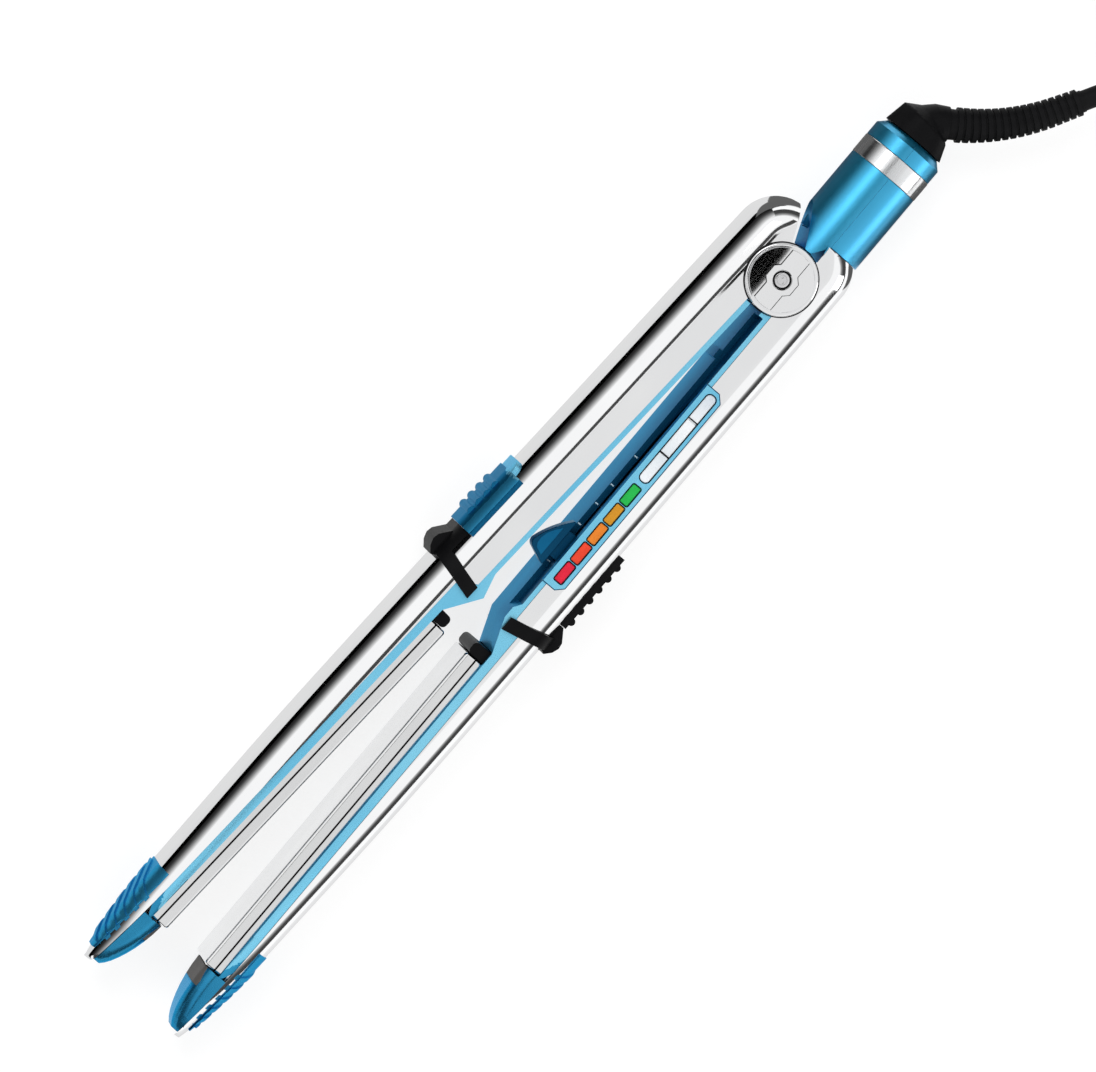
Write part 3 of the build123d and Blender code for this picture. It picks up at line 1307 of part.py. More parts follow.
with BuildPart() as temperature_sensor:
    add(upper_side(fuse_form()))
temperature_sensor.part.label = "temperature_sensor"
export_step(temperature_sensor.part, "parts/temperature_sensor.step")
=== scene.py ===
"""Looks of a hair straightener that lies open on a white table.

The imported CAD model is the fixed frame. Each sub-assembly below is a class that shapes its pieces in
millimetres in the frame of the hinge: Z is the hinge axis, X runs to the tips along the lower arm,
and Y points from the closed plane into the lower arm. Pieces are turned into metres when they are
finished.
"""

from __future__ import annotations

import logging
import math
from collections.abc import Callable, Iterable, Sequence
from dataclasses import dataclass, field
from enum import Enum

import bmesh
import bpy
from mathutils import Matrix, Vector

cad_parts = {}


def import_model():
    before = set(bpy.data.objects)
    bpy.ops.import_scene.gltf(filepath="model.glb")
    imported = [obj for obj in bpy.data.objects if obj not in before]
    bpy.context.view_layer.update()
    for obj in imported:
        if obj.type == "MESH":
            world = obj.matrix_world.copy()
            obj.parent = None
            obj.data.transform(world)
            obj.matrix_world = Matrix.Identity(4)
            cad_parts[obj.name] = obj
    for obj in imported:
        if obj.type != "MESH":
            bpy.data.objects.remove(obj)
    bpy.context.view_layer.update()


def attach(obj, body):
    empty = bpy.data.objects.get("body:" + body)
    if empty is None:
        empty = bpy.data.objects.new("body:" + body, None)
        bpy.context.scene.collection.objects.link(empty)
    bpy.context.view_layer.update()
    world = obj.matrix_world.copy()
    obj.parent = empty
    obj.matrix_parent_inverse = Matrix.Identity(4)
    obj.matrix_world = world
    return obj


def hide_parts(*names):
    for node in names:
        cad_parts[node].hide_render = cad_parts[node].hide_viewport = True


LOG = logging.getLogger("straightener")

MM = 0.001
MID_Z = 17.9
BODY_HALF = 16.5
OPEN_DEGREES = -3.2
BACK_ROUND = 9.5
SHEET = 1.15
MERGE_FORM = 0.0005
MERGE_CAD = 0.002
BELOW, ABOVE = -10.0, 50.0
UP = Vector((0.0, 0.0, 1.0))
HINGE = Vector((0.0, 0.0, 0.0))

Point2 = tuple[float, float]
Point3 = tuple[float, float, float]
Colour = Point3
Vert, Edge, Face = bmesh.types.BMVert, bmesh.types.BMEdge, bmesh.types.BMFace
Socket, Material = bpy.types.NodeSocket, bpy.types.Material


class Across(Enum):
    """The axis along which a flat outline is drawn out."""

    X = "x"
    Y = "y"
    Z = "z"

    def place(self, first: float, second: float, level: float) -> Vector:
        """Put an outline's point in space at a level on this axis."""
        if self is Across.X:
            return Vector((level, first, second))
        if self is Across.Y:
            return Vector((first, level, second))
        return Vector((first, second, level))


class Side(Enum):
    """One of the two arms."""

    LOWER = "lower"
    UPPER = "upper"

    @property
    def body(self) -> str:
        """The CAD body of the arm."""
        return f"{self.value}_arm"


def show(name: str, data: bpy.types.ID) -> bpy.types.Object:
    """Put an object with its data into the scene."""
    shown = bpy.data.objects.new(name, data)
    bpy.context.scene.collection.objects.link(shown)
    return shown


class Form:
    """A mesh in millimetres, shaped with mesh operators."""

    def __init__(self) -> None:
        """Start with an empty mesh."""
        self.bm = bmesh.new()

    def prism(self, outline: Sequence[Point2], axis: Across, low: float, high: float) -> list[Face]:
        """Draw an outline out into a solid block.

        Args:
            outline: Corners in order, in the plane across the axis.
            axis: The axis to draw out along.
            low: Level of the first face.
            high: Level of the second face.

        Returns:
            All faces of the block.
        """
        corners = [self.bm.verts.new(axis.place(a, b, low)) for a, b in outline]
        moved = self.draw_out([self.bm.faces.new(corners)], axis, high - low)
        faces = list({face for vert in corners + moved for face in vert.link_faces})
        bmesh.ops.recalc_face_normals(self.bm, faces=faces)
        return faces

    def draw_out(self, faces: Sequence[Face], axis: Across, height: float) -> list[Vert]:
        """Extrude faces along an axis and give back the moved points."""
        grown = bmesh.ops.extrude_face_region(self.bm, geom=faces, use_keep_orig=True)
        moved = [item for item in grown["geom"] if isinstance(item, Vert)]
        bmesh.ops.translate(self.bm, vec=axis.place(0.0, 0.0, height), verts=moved)
        return moved

    def face_outwards(self) -> None:
        """Turn every face outwards."""
        bmesh.ops.recalc_face_normals(self.bm, faces=self.bm.faces[:])

    def merge(self, distance: float = MERGE_FORM) -> None:
        """Join the points that coincide."""
        bmesh.ops.remove_doubles(self.bm, verts=self.bm.verts[:], dist=distance)

    def resize(self, factor: float) -> None:
        """Scale the whole form."""
        bmesh.ops.scale(self.bm, vec=(factor, factor, factor), verts=self.bm.verts[:])

    def block(self, low: Sequence[float], high: Sequence[float]) -> list[Face]:
        """Make a block between two corners."""
        outline = [(low[0], low[1]), (high[0], low[1]), (high[0], high[1]), (low[0], high[1])]
        return self.prism(outline, Across.Z, low[2], high[2])

    def lathe(
        self, profile: Sequence[Point2], steps: int = 96, centre: Vector = HINGE, way: Vector = UP
    ) -> "Form":
        """Turn a profile round an axis, which is the hinge's if none is given.

        Args:
            profile: Pairs of distance along the axis and radius.
            steps: Number of faces round the axis.
            centre: Point on the axis from which distances run.
            way: Direction of the axis.

        Returns:
            This form.
        """
        axis = way.normalized()
        side = axis.orthogonal().normalized()
        verts = [self.bm.verts.new(centre + axis * along + side * radius) for along, radius in profile]
        edges = [self.bm.edges.new(pair) for pair in zip(verts, verts[1:])]
        turned = {"cent": centre, "axis": axis, "angle": math.tau, "steps": steps, "use_merge": True}
        bmesh.ops.spin(self.bm, geom=verts + edges, **turned)
        self.merge()
        self.face_outwards()
        return self

    def rings(self, stations: Sequence[Sequence[Vector]], cap: bool = True) -> None:
        """Bridge closed rings of points into one skin.

        Args:
            stations: Rings with the same number of points, in order.
            cap: Whether the first and last ring are closed with a face.
        """
        loops = []
        for ring in stations:
            verts = [self.bm.verts.new(point) for point in ring]
            loops.append([self.bm.edges.new(pair) for pair in zip(verts, verts[1:] + verts[:1])])
        for first, second in zip(loops, loops[1:]):
            bmesh.ops.bridge_loops(self.bm, edges=first + second)
        if cap:
            for loop in (loops[0], loops[-1]):
                bmesh.ops.contextual_create(self.bm, geom=loop)
        self.face_outwards()

    def soften(
        self,
        width: float,
        segments: int = 3,
        angle: float = 30.0,
        where: Callable[[Edge], bool] | None = None,
    ) -> None:
        """Round the edges that turn by more than an angle.

        Args:
            width: Distance of the rounding from the edge.
            segments: Faces across the rounding.
            angle: Smallest turn in degrees that counts as an edge.
            where: Further test on an edge.
        """
        limit = math.radians(angle)
        chosen = [
            edge
            for edge in self.bm.edges
            if len(edge.link_faces) == 2
            and edge.calc_face_angle(0.0) > limit
            and (where is None or where(edge))
        ]
        shape = {"offset": width, "offset_type": "OFFSET", "segments": segments, "profile": 0.5}
        bmesh.ops.bevel(self.bm, geom=chosen, affect="EDGES", material=-1, clamp_overlap=True, **shape)

    def join(self, other: "Form") -> "Form":
        """Take another form's mesh into this one.

        Args:
            other: The form to take in.

        Returns:
            This form.
        """
        kept = bpy.data.meshes.new("kept")
        other.bm.to_mesh(kept)
        other.bm.free()
        self.bm.from_mesh(kept)
        bpy.data.meshes.remove(kept)
        return self

    def frame(self, outline: Sequence[Point2], width: float, axis: Across, low: float, high: float) -> None:
        """Draw the rim of an outline out into a solid frame.

        Args:
            outline: Outer corners in order, in the plane across the axis.
            width: Width of the rim, inwards.
            axis: The axis to draw out along.
            low: Level of the first face.
            high: Level of the second face.
        """
        face = self.bm.faces.new([self.bm.verts.new(axis.place(a, b, low)) for a, b in outline])
        self.bm.normal_update()
        rim = bmesh.ops.inset_region(
            self.bm, faces=[face], thickness=width, use_boundary=True, use_even_offset=True
        )["faces"]
        bmesh.ops.delete(self.bm, geom=[face], context="FACES")
        self.draw_out(rim, axis, high - low)
        self.face_outwards()

    def pull_edges(
        self,
        rim: list[Edge],
        steps: Sequence[Callable[[Vector], Vector]],
    ) -> list[Edge]:
        """Grow a skin from a rim, one strip for each step.

        Args:
            rim: The open edges to start from.
            steps: For each strip, where a point of the first rim goes.

        Returns:
            The edges of the last rim.
        """
        first = {vert: vert.co.copy() for edge in rim for vert in edge.verts}
        for step in steps:
            old_verts = {vert for edge in rim for vert in edge.verts}
            grown = bmesh.ops.extrude_edge_only(self.bm, edges=rim)["geom"]
            new_verts = [item for item in grown if isinstance(item, Vert)]
            partner = {}
            for vert in new_verts:
                old = next(
                    edge.other_vert(vert) for edge in vert.link_edges if edge.other_vert(vert) in old_verts
                )
                partner[vert] = first[old]
            for vert in new_verts:
                vert.co = step(partner[vert])
            first = partner
            fresh = set(new_verts)
            rim = [
                item
                for item in grown
                if isinstance(item, Edge) and item.verts[0] in fresh and item.verts[1] in fresh
            ]
        return rim

    def turn_to(self, side: Side) -> None:
        """Mirror and swing a form of the closed lower arm to where the upper arm is."""
        if side is Side.LOWER:
            return
        bmesh.ops.scale(self.bm, vec=(1.0, -1.0, 1.0), verts=self.bm.verts[:])
        bmesh.ops.reverse_faces(self.bm, faces=self.bm.faces[:])
        turn = Matrix.Rotation(math.radians(OPEN_DEGREES), 3, "Z")
        bmesh.ops.rotate(self.bm, cent=(0.0, 0.0, 0.0), matrix=turn, verts=self.bm.verts[:])

    def mesh(self, name: str, sharp: float = 32.0) -> bpy.types.Mesh:
        """Turn the form into a mesh in metres.

        Args:
            name: Name of the mesh.
            sharp: Turn in degrees from which an edge shades as a crease.

        Returns:
            The mesh.
        """
        self.resize(MM)
        made = bpy.data.meshes.new(name)
        self.bm.to_mesh(made)
        self.bm.free()
        made.shade_smooth()
        made.set_sharp_from_angle(angle=math.radians(sharp))
        return made


def copy_of(node: str) -> Form:
    """A merged copy of a CAD node's mesh, with its flat faces whole again.

    Args:
        node: Name of the CAD node.

    Returns:
        The copy in millimetres.
    """
    form = Form()
    form.bm.from_mesh(bpy.data.objects[node].data)
    form.resize(1 / MM)
    form.merge(MERGE_CAD)
    flat = math.radians(0.2)
    bmesh.ops.dissolve_limit(form.bm, angle_limit=flat, verts=form.bm.verts[:], edges=form.bm.edges[:])
    return form


def carve(blank: Form, tools: Iterable[Form], wall: float = 0.0) -> Form:
    """Cut solid tools out of a form.

    Args:
        blank: The form to cut, closed unless it is given a wall.
        tools: Closed forms that are taken away.
        wall: Thickness that an open skin is given inwards first.

    Returns:
        The cut form.
    """
    block = show("blank", blank.mesh("blank"))
    if wall:
        thick = block.modifiers.new("wall", "SOLIDIFY")
        thick.thickness = wall * MM
        thick.offset = -1.0
        thick.use_even_offset = True
    cutters = []
    for tool in tools:
        cutter = show("cutter", tool.mesh("cutter"))
        cutters.append(cutter)
        cut = block.modifiers.new("cut", "BOOLEAN")
        cut.operation = "DIFFERENCE"
        cut.solver = "EXACT"
        cut.object = cutter
    graph = bpy.context.evaluated_depsgraph_get()
    result = bpy.data.meshes.new_from_object(block.evaluated_get(graph))
    form = Form()
    form.bm.from_mesh(result)
    form.resize(1 / MM)
    form.merge(MERGE_CAD)
    for used in [block, *cutters]:
        bpy.data.objects.remove(used)
    bpy.data.meshes.remove(result)
    return form


def arc(centre: Point2, radius: float, first: float, last: float, steps: int) -> list[Point2]:
    """Corners of an outline along part of a circle.

    Args:
        centre: Middle of the circle.
        radius: Its radius.
        first: Angle in degrees where it starts.
        last: Angle in degrees where it ends.
        steps: Number of sides.

    Returns:
        The corners, with both ends.
    """
    turns = [math.radians(first + (last - first) * step / steps) for step in range(steps + 1)]
    return [(centre[0] + radius * math.cos(turn), centre[1] + radius * math.sin(turn)) for turn in turns]


def panel_outline(grow: float = 0.0) -> list[Point2]:
    """Corners of the light panel, its two outer corners cut off, grown except at its straight side."""
    (low_x, low_y), (high_x, high_y), corner = (39.8, 3.6), (119.0, 10.5), 2.2
    cut = corner - grow * 0.4
    return [
        (low_x - grow, low_y),
        (high_x + grow, low_y),
        (high_x + grow, high_y - cut),
        (high_x - cut, high_y + grow),
        (low_x + cut, high_y + grow),
        (low_x - grow, high_y - cut),
    ]


def rounded(low: Point2, high: Point2, radius: float, steps: int = 5) -> list[Point2]:
    """Corners of a rectangle with round corners.

    Args:
        low: Its lowest corner.
        high: Its highest corner.
        radius: Radius of the corners.
        steps: Sides of each round corner.

    Returns:
        The corners, anticlockwise.
    """
    middles = (
        (high[0] - radius, high[1] - radius),
        (low[0] + radius, high[1] - radius),
        (low[0] + radius, low[1] + radius),
        (high[0] - radius, low[1] + radius),
    )
    return [
        point
        for k, middle in enumerate(middles)
        for point in arc(middle, radius, 90 * k, 90 * k + 90, steps)
    ]


# Finishes


class NodeBoard:
    """The node tree of one material, with short ways to add to it."""

    def __init__(self, name: str) -> None:
        """Start a material with a Principled shader.

        Args:
            name: Name of the material.
        """
        self.material = bpy.data.materials.new(name)
        self.material.use_nodes = True
        self.tree = self.material.node_tree
        self.shader = self.tree.nodes["Principled BSDF"]
        self.place = self.tree.nodes.new("ShaderNodeTexCoord")

    def node(self, kind: str, value: Socket, socket: str, **inputs: float | Colour) -> bpy.types.Node:
        """Add a node, feed one of its sockets and set others, named with underscores for spaces."""
        made = self.tree.nodes.new(f"ShaderNode{kind}")
        for name, setting in inputs.items():
            made.inputs[name.replace("_", " ")].default_value = setting
        self.tree.links.new(value, made.inputs[socket])
        return made

    def set(self, **values: float | Colour) -> None:
        """Set shader sockets, named with underscores for spaces."""
        for name, value in values.items():
            socket = self.shader.inputs[name.replace("_", " ")]
            is_colour = isinstance(value, tuple)
            socket.default_value = (*value, 1.0) if is_colour else value

    def noise(self, stretch: Colour, detail: float = 3.0, roughness: float = 0.55) -> Socket:
        """Noise on object coordinates.

        Args:
            stretch: Cells per metre along X, Y and Z.
            detail: Octaves of the noise.
            roughness: Weight of the finer octaves.

        Returns:
            The noise value, 0 to 1.
        """
        place = self.node("Mapping", self.place.outputs["Object"], "Vector", Scale=stretch).outputs["Vector"]
        return self.node(
            "TexNoise", place, "Vector", Scale=1.0, Detail=detail, Roughness=roughness
        ).outputs["Fac"]

    def spread(self, value: Socket, low: float, high: float) -> Socket:
        """Map the middle of a noise onto a range.

        Args:
            value: The noise value.
            low: Result where the noise is weak.
            high: Result where the noise is strong.

        Returns:
            The mapped value.
        """
        ends = {"From_Min": 0.3, "From_Max": 0.7, "To_Min": low, "To_Max": high}
        return self.node("MapRange", value, "Value", **ends).outputs["Result"]

    def blend(self, value: Socket, low: Colour, high: Colour) -> Socket:
        """Run a noise from one colour to another.

        Args:
            value: The noise value.
            low: Colour where the noise is weak.
            high: Colour where the noise is strong.

        Returns:
            The colour.
        """
        return self.ramp(value, ((0.3, low), (0.7, high)))

    def ramp(self, value: Socket, tones: Sequence[tuple[float, Colour]]) -> Socket:
        """Run a value through colours, each at its place from 0 to 1."""
        made = self.node("ValToRGB", value, "Fac")
        elements = made.color_ramp.elements
        while len(elements) > 1:
            elements.remove(elements[-1])
        for index, (place, colour) in enumerate(tones):
            stop = elements.new(place) if index else elements[0]
            stop.position = place
            stop.color = (*colour, 1.0)
        return made.outputs["Color"]

    def along(self, axis: str, low: float, high: float) -> Socket:
        """How far a point lies between two levels in millimetres on an axis, 0 to 1."""
        parts = self.node("SeparateXYZ", self.place.outputs["Object"], "Vector")
        ends = {"From_Min": low * MM, "From_Max": high * MM}
        return self.node("MapRange", parts.outputs[axis], "Value", **ends).outputs["Result"]

    def bump(self, value: Socket, strength: float, distance: float) -> None:
        """Let a value raise the surface.

        Args:
            value: Height, 0 to 1.
            strength: Share of the effect.
            distance: Height of a full step in metres.
        """
        self.link(
            self.node("Bump", value, "Height", Strength=strength, Distance=distance).outputs["Normal"],
            "Normal",
        )

    def link(self, value: Socket, socket: str) -> None:
        """Feed a shader socket."""
        self.tree.links.new(value, self.shader.inputs[socket])


@dataclass(frozen=True)
class Metal:
    """A polished or drawn metal with fine streaks along its length."""

    name: str
    slot: str
    light: Colour = (0.94, 0.945, 0.95)
    dark: Colour = (0.90, 0.905, 0.915)
    smooth: float = 0.05
    worn: float = 0.085
    streaks: Colour = (14.0, 900.0, 900.0)
    scratch: float = 0.012

    def make(self) -> Material:
        """Build the material."""
        board = NodeBoard(self.name)
        board.set(Metallic=1.0)
        streak = board.noise(self.streaks, detail=4.0)
        smear = board.noise((30.0, 50.0, 50.0), detail=2.0)
        board.link(board.blend(smear, self.dark, self.light), "Base Color")
        board.link(board.spread(streak, self.smooth, self.worn), "Roughness")
        board.bump(streak, self.scratch, 0.00002)
        return board.material


@dataclass(frozen=True)
class Lacquer:
    """A coloured metallic lacquer with fine flakes."""

    name: str
    slot: str
    light: Colour = (0.055, 0.400, 0.690)
    dark: Colour = (0.032, 0.300, 0.560)
    metallic: float = 0.85
    roughness: float = 0.34
    edge: Colour = (0.30, 0.72, 1.0)
    coat: float = 0.0

    def make(self) -> Material:
        """Build the material."""
        board = NodeBoard(self.name)
        board.set(Metallic=self.metallic, Specular_Tint=self.edge, Specular_IOR_Level=0.3)
        flake = board.noise((4200.0, 4200.0, 4200.0), detail=1.0)
        drift = board.noise((26.0, 40.0, 40.0), detail=2.0)
        board.link(board.blend(drift, self.dark, self.light), "Base Color")
        board.link(board.spread(flake, self.roughness - 0.05, self.roughness + 0.07), "Roughness")
        board.bump(flake, 0.04, 0.00001)
        if self.coat:
            board.set(Coat_Weight=self.coat, Coat_Roughness=0.3, Coat_IOR=1.6)
        return board.material


@dataclass(frozen=True)
class Plastic:
    """A moulded plastic or rubber with a fine spark-eroded grain."""

    name: str
    slot: str
    light: Colour
    dark: Colour
    roughness: float = 0.45
    grain: float = 2600.0
    depth: float = 0.00003
    coat: float = 0.0
    shine: float = 0.5

    def make(self) -> Material:
        """Build the material."""
        board = NodeBoard(self.name)
        board.set(Specular_IOR_Level=self.shine, Coat_Weight=self.coat, Coat_Roughness=0.15)
        grain = board.noise((self.grain, self.grain, self.grain), detail=2.0)
        drift = board.noise((70.0, 70.0, 70.0), detail=2.0)
        board.link(board.blend(drift, self.dark, self.light), "Base Color")
        board.link(board.spread(grain, self.roughness - 0.06, self.roughness + 0.08), "Roughness")
        board.bump(grain, 0.25, self.depth)
        return board.material


@dataclass(frozen=True)
class Lens:
    """A tinted window over a small lamp, a little cloudy."""

    name: str
    slot: str
    tint: Colour

    def make(self) -> Material:
        """Build the material."""
        board = NodeBoard(self.name)
        deep = tuple(0.80 * part for part in self.tint)
        board.set(Specular_IOR_Level=0.15, Emission_Color=self.tint, Emission_Strength=0.08)
        cloud = board.noise((260.0, 420.0, 260.0), detail=2.0)
        board.link(board.blend(cloud, deep, self.tint), "Base Color")
        board.link(board.spread(cloud, 0.30, 0.42), "Roughness")
        return board.material


@dataclass(frozen=True)
class Gradient:
    """A satin metallic finish that runs from one tone to another along the arm."""

    name: str
    slot: str
    tones: tuple[tuple[float, Colour], ...]
    low: float
    high: float

    def make(self) -> Material:
        """Build the material."""
        board = NodeBoard(self.name)
        board.set(Metallic=0.3, Specular_IOR_Level=0.2)
        board.link(board.ramp(board.along("X", self.low, self.high), self.tones), "Base Color")
        grain = board.noise((900.0, 3000.0, 900.0), detail=2.0)
        board.link(board.spread(grain, 0.34, 0.5), "Roughness")
        board.bump(grain, 0.1, 0.00002)
        return board.material


@dataclass(frozen=True)
class Palette:
    """Every finish on the tool."""

    steel: Metal = Metal("polished_steel", "polished_steel")
    plate: Metal = Metal(
        "plate_steel", "polished_steel", (0.86, 0.865, 0.87), (0.80, 0.805, 0.81), 0.10, 0.17
    )
    ring: Metal = Metal(
        "grained_steel",
        "polished_steel",
        (0.95, 0.95, 0.95),
        (0.62, 0.64, 0.66),
        0.12,
        0.34,
        (60.0, 420.0, 420.0),
        0.3,
    )
    blades: Metal = Metal(
        "nickel_blades", "polished_steel", (0.72, 0.70, 0.66), (0.62, 0.60, 0.57), 0.14, 0.26
    )
    pin: Metal = Metal("bright_steel", "hinge_steel", (0.80, 0.80, 0.81), (0.68, 0.68, 0.69), 0.12, 0.24)
    blue: Lacquer = Lacquer("blue_lacquer", "blue_plastic")
    # Darker copy of the blue: painted shade on the liner's faces that look at the other arm.
    mid: Lacquer = Lacquer(
        "shaded_blue_lacquer", "blue_plastic", (0.045, 0.30, 0.50), (0.025, 0.21, 0.38), 0.8, 0.36
    )
    cone: Lacquer = Lacquer(
        "tip_blue_lacquer", "blue_plastic", (0.045, 0.34, 0.58), (0.022, 0.22, 0.42), 0.9, 0.22
    )
    # Darker copy of the blue: painted shade on the barrel's scoop and on the thumb grip's sides; also the
    # colour of the knob's face.
    deep: Lacquer = Lacquer("deep_blue_lacquer", "blue_plastic", (0.012, 0.175, 0.360), (0.008, 0.130, 0.280))
    # Lighter copy of the blue: painted light on the upward faces of the liner, tip and light panel; also the
    # thumb grip's tongue.
    sky: Lacquer = Lacquer(
        "bright_blue_lacquer", "blue_plastic", (0.25, 0.66, 0.87), (0.17, 0.56, 0.80), 0.75, 0.3
    )
    gloss: Lacquer = Lacquer(
        "barrel_blue_lacquer", "blue_plastic", (0.015, 0.43, 0.72), (0.010, 0.35, 0.62), 0.95, 0.34, coat=1.0
    )
    # Darkest copy of the blue: painted shade in the knob's channel and in the line round the light panel;
    # also the knob's colour.
    navy: Lacquer = Lacquer(
        "navy_lacquer", "blue_plastic", (0.005, 0.075, 0.160), (0.003, 0.050, 0.115), 0.6, 0.3
    )
    black: Plastic = Plastic(
        "satin_black", "black_plastic", (0.0060, 0.0060, 0.0065), (0.0035, 0.0035, 0.004), 0.42, shine=0.06
    )
    rubber: Plastic = Plastic(
        "black_rubber", "black_rubber", (0.0075, 0.0075, 0.008), (0.004, 0.004, 0.0045), 0.5, shine=0.06
    )
    pad: Plastic = Plastic(
        "pad_rubber", "pad_rubber", (0.10, 0.09, 0.083), (0.065, 0.06, 0.056), 0.6, shine=0.3
    )
    ceramic: Plastic = Plastic("white_ceramic", "ceramic", (0.80, 0.79, 0.75), (0.70, 0.69, 0.65), 0.6)
    nylon: Plastic = Plastic("natural_nylon", "inner_plastic", (0.72, 0.70, 0.64), (0.62, 0.60, 0.54), 0.5)
    board: Plastic = Plastic(
        "board_green", "board_green", (0.03, 0.20, 0.08), (0.02, 0.15, 0.06), 0.35, coat=0.4
    )
    silver: Gradient = Gradient(
        "label_silver",
        "label_silver",
        (
            (0.0, (0.60, 0.66, 0.72)),
            (0.35, (0.86, 0.88, 0.90)),
            (0.72, (0.70, 0.75, 0.79)),
            (1.0, (0.84, 0.87, 0.90)),
        ),
        41.3,
        75.8,
    )
    mark: Plastic = Plastic("pale_mark", "label_silver", (0.55, 0.75, 0.85), (0.45, 0.65, 0.78), 0.4)


Finish = Metal | Lacquer | Plastic | Lens | Gradient


class Wardrobe:
    """Makes each finish once and hands out its material."""

    def __init__(self) -> None:
        """Start with no material made."""
        self.made: dict[str, Material] = {}

    def material(self, finish: Finish) -> Material:
        """The material of a finish, made at its first use."""
        if finish.name not in self.made:
            self.made[finish.name] = finish.make()
        return self.made[finish.name]


@dataclass(frozen=True)
class Zone:
    """A finish for some faces of a piece, chosen by their middle in millimetres and their normal; most zones
    use it to paint light or shade by the way faces look.
    """

    finish: Finish
    holds: Callable[[Vector, Vector], bool]


@dataclass
class Bench:
    """Puts finished pieces on the frame."""

    wardrobe: Wardrobe = field(default_factory=Wardrobe)
    palette: Palette = field(default_factory=Palette)

    def tools(self) -> tuple[Palette, Callable, Callable, Callable]:
        """The finishes and the ways to put pieces on, for a sub-assembly's build."""
        return self.palette, self.dress, self.fit, self.paint

    def fit(
        self,
        name: str,
        form: Form,
        finish: Finish,
        body: str,
        nodes: Sequence[str] = (),
        sharp: float = 32.0,
        soft: float = 0.0,
        zones: Sequence[Zone] = (),
    ) -> bpy.types.Object:
        """Make a piece of a form and seat it on a CAD body.

        Args:
            name: Name of the piece.
            form: Its shape.
            finish: Its finish.
            body: CAD body that it rides on.
            nodes: CAD nodes that it stands for.
            sharp: Turn in degrees from which an edge shades as a crease.
            soft: Width in millimetres of the rounding on its creases.
            zones: Other finishes of the same slot and the faces that have them.

        Returns:
            The piece.
        """
        piece = show(name, form.mesh(name, sharp))
        piece.data.materials.clear()
        piece.data.materials.append(self.wardrobe.material(finish))
        for index, zone in enumerate(zones, 1):
            piece.data.materials.append(self.wardrobe.material(zone.finish))
            for face in piece.data.polygons:
                if zone.holds(face.center / MM, face.normal):
                    face.material_index = index
        if soft:
            round_edges = piece.modifiers.new("soft", "BEVEL")
            round_edges.width = soft * MM
            round_edges.segments = 3
            round_edges.limit_method = "ANGLE"
            round_edges.angle_limit = math.radians(sharp)
            round_edges.use_clamp_overlap = True
            round_edges.miter_outer = "MITER_ARC"
        normals = piece.modifiers.new("normals", "WEIGHTED_NORMAL")
        normals.keep_sharp = not soft
        normals.weight = 80
        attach(piece, body)
        if nodes:
            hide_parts(*nodes)
        LOG.info("piece %s: %d faces on %s", name, len(piece.data.polygons), body)
        return piece

    def dress(
        self,
        node: str,
        finish: Finish,
        body: str,
        sharp: float = 32.0,
        soft: float = 0.0,
        zones: Sequence[Zone] = (),
    ) -> None:
        """Show a merged copy of a CAD node in a finish, its creases rounded."""
        self.fit(f"{node}_shown", copy_of(node), finish, body, [node], sharp, soft, zones)

    def paint(self, node: str, finish: Finish) -> None:
        """Keep a CAD node as it is and give it a finish."""
        shown = bpy.data.objects[node]
        shown.data.materials.clear()
        shown.data.materials.append(self.wardrobe.material(finish))
        LOG.info("node %s painted %s", node, finish.name)


# Sub-assemblies


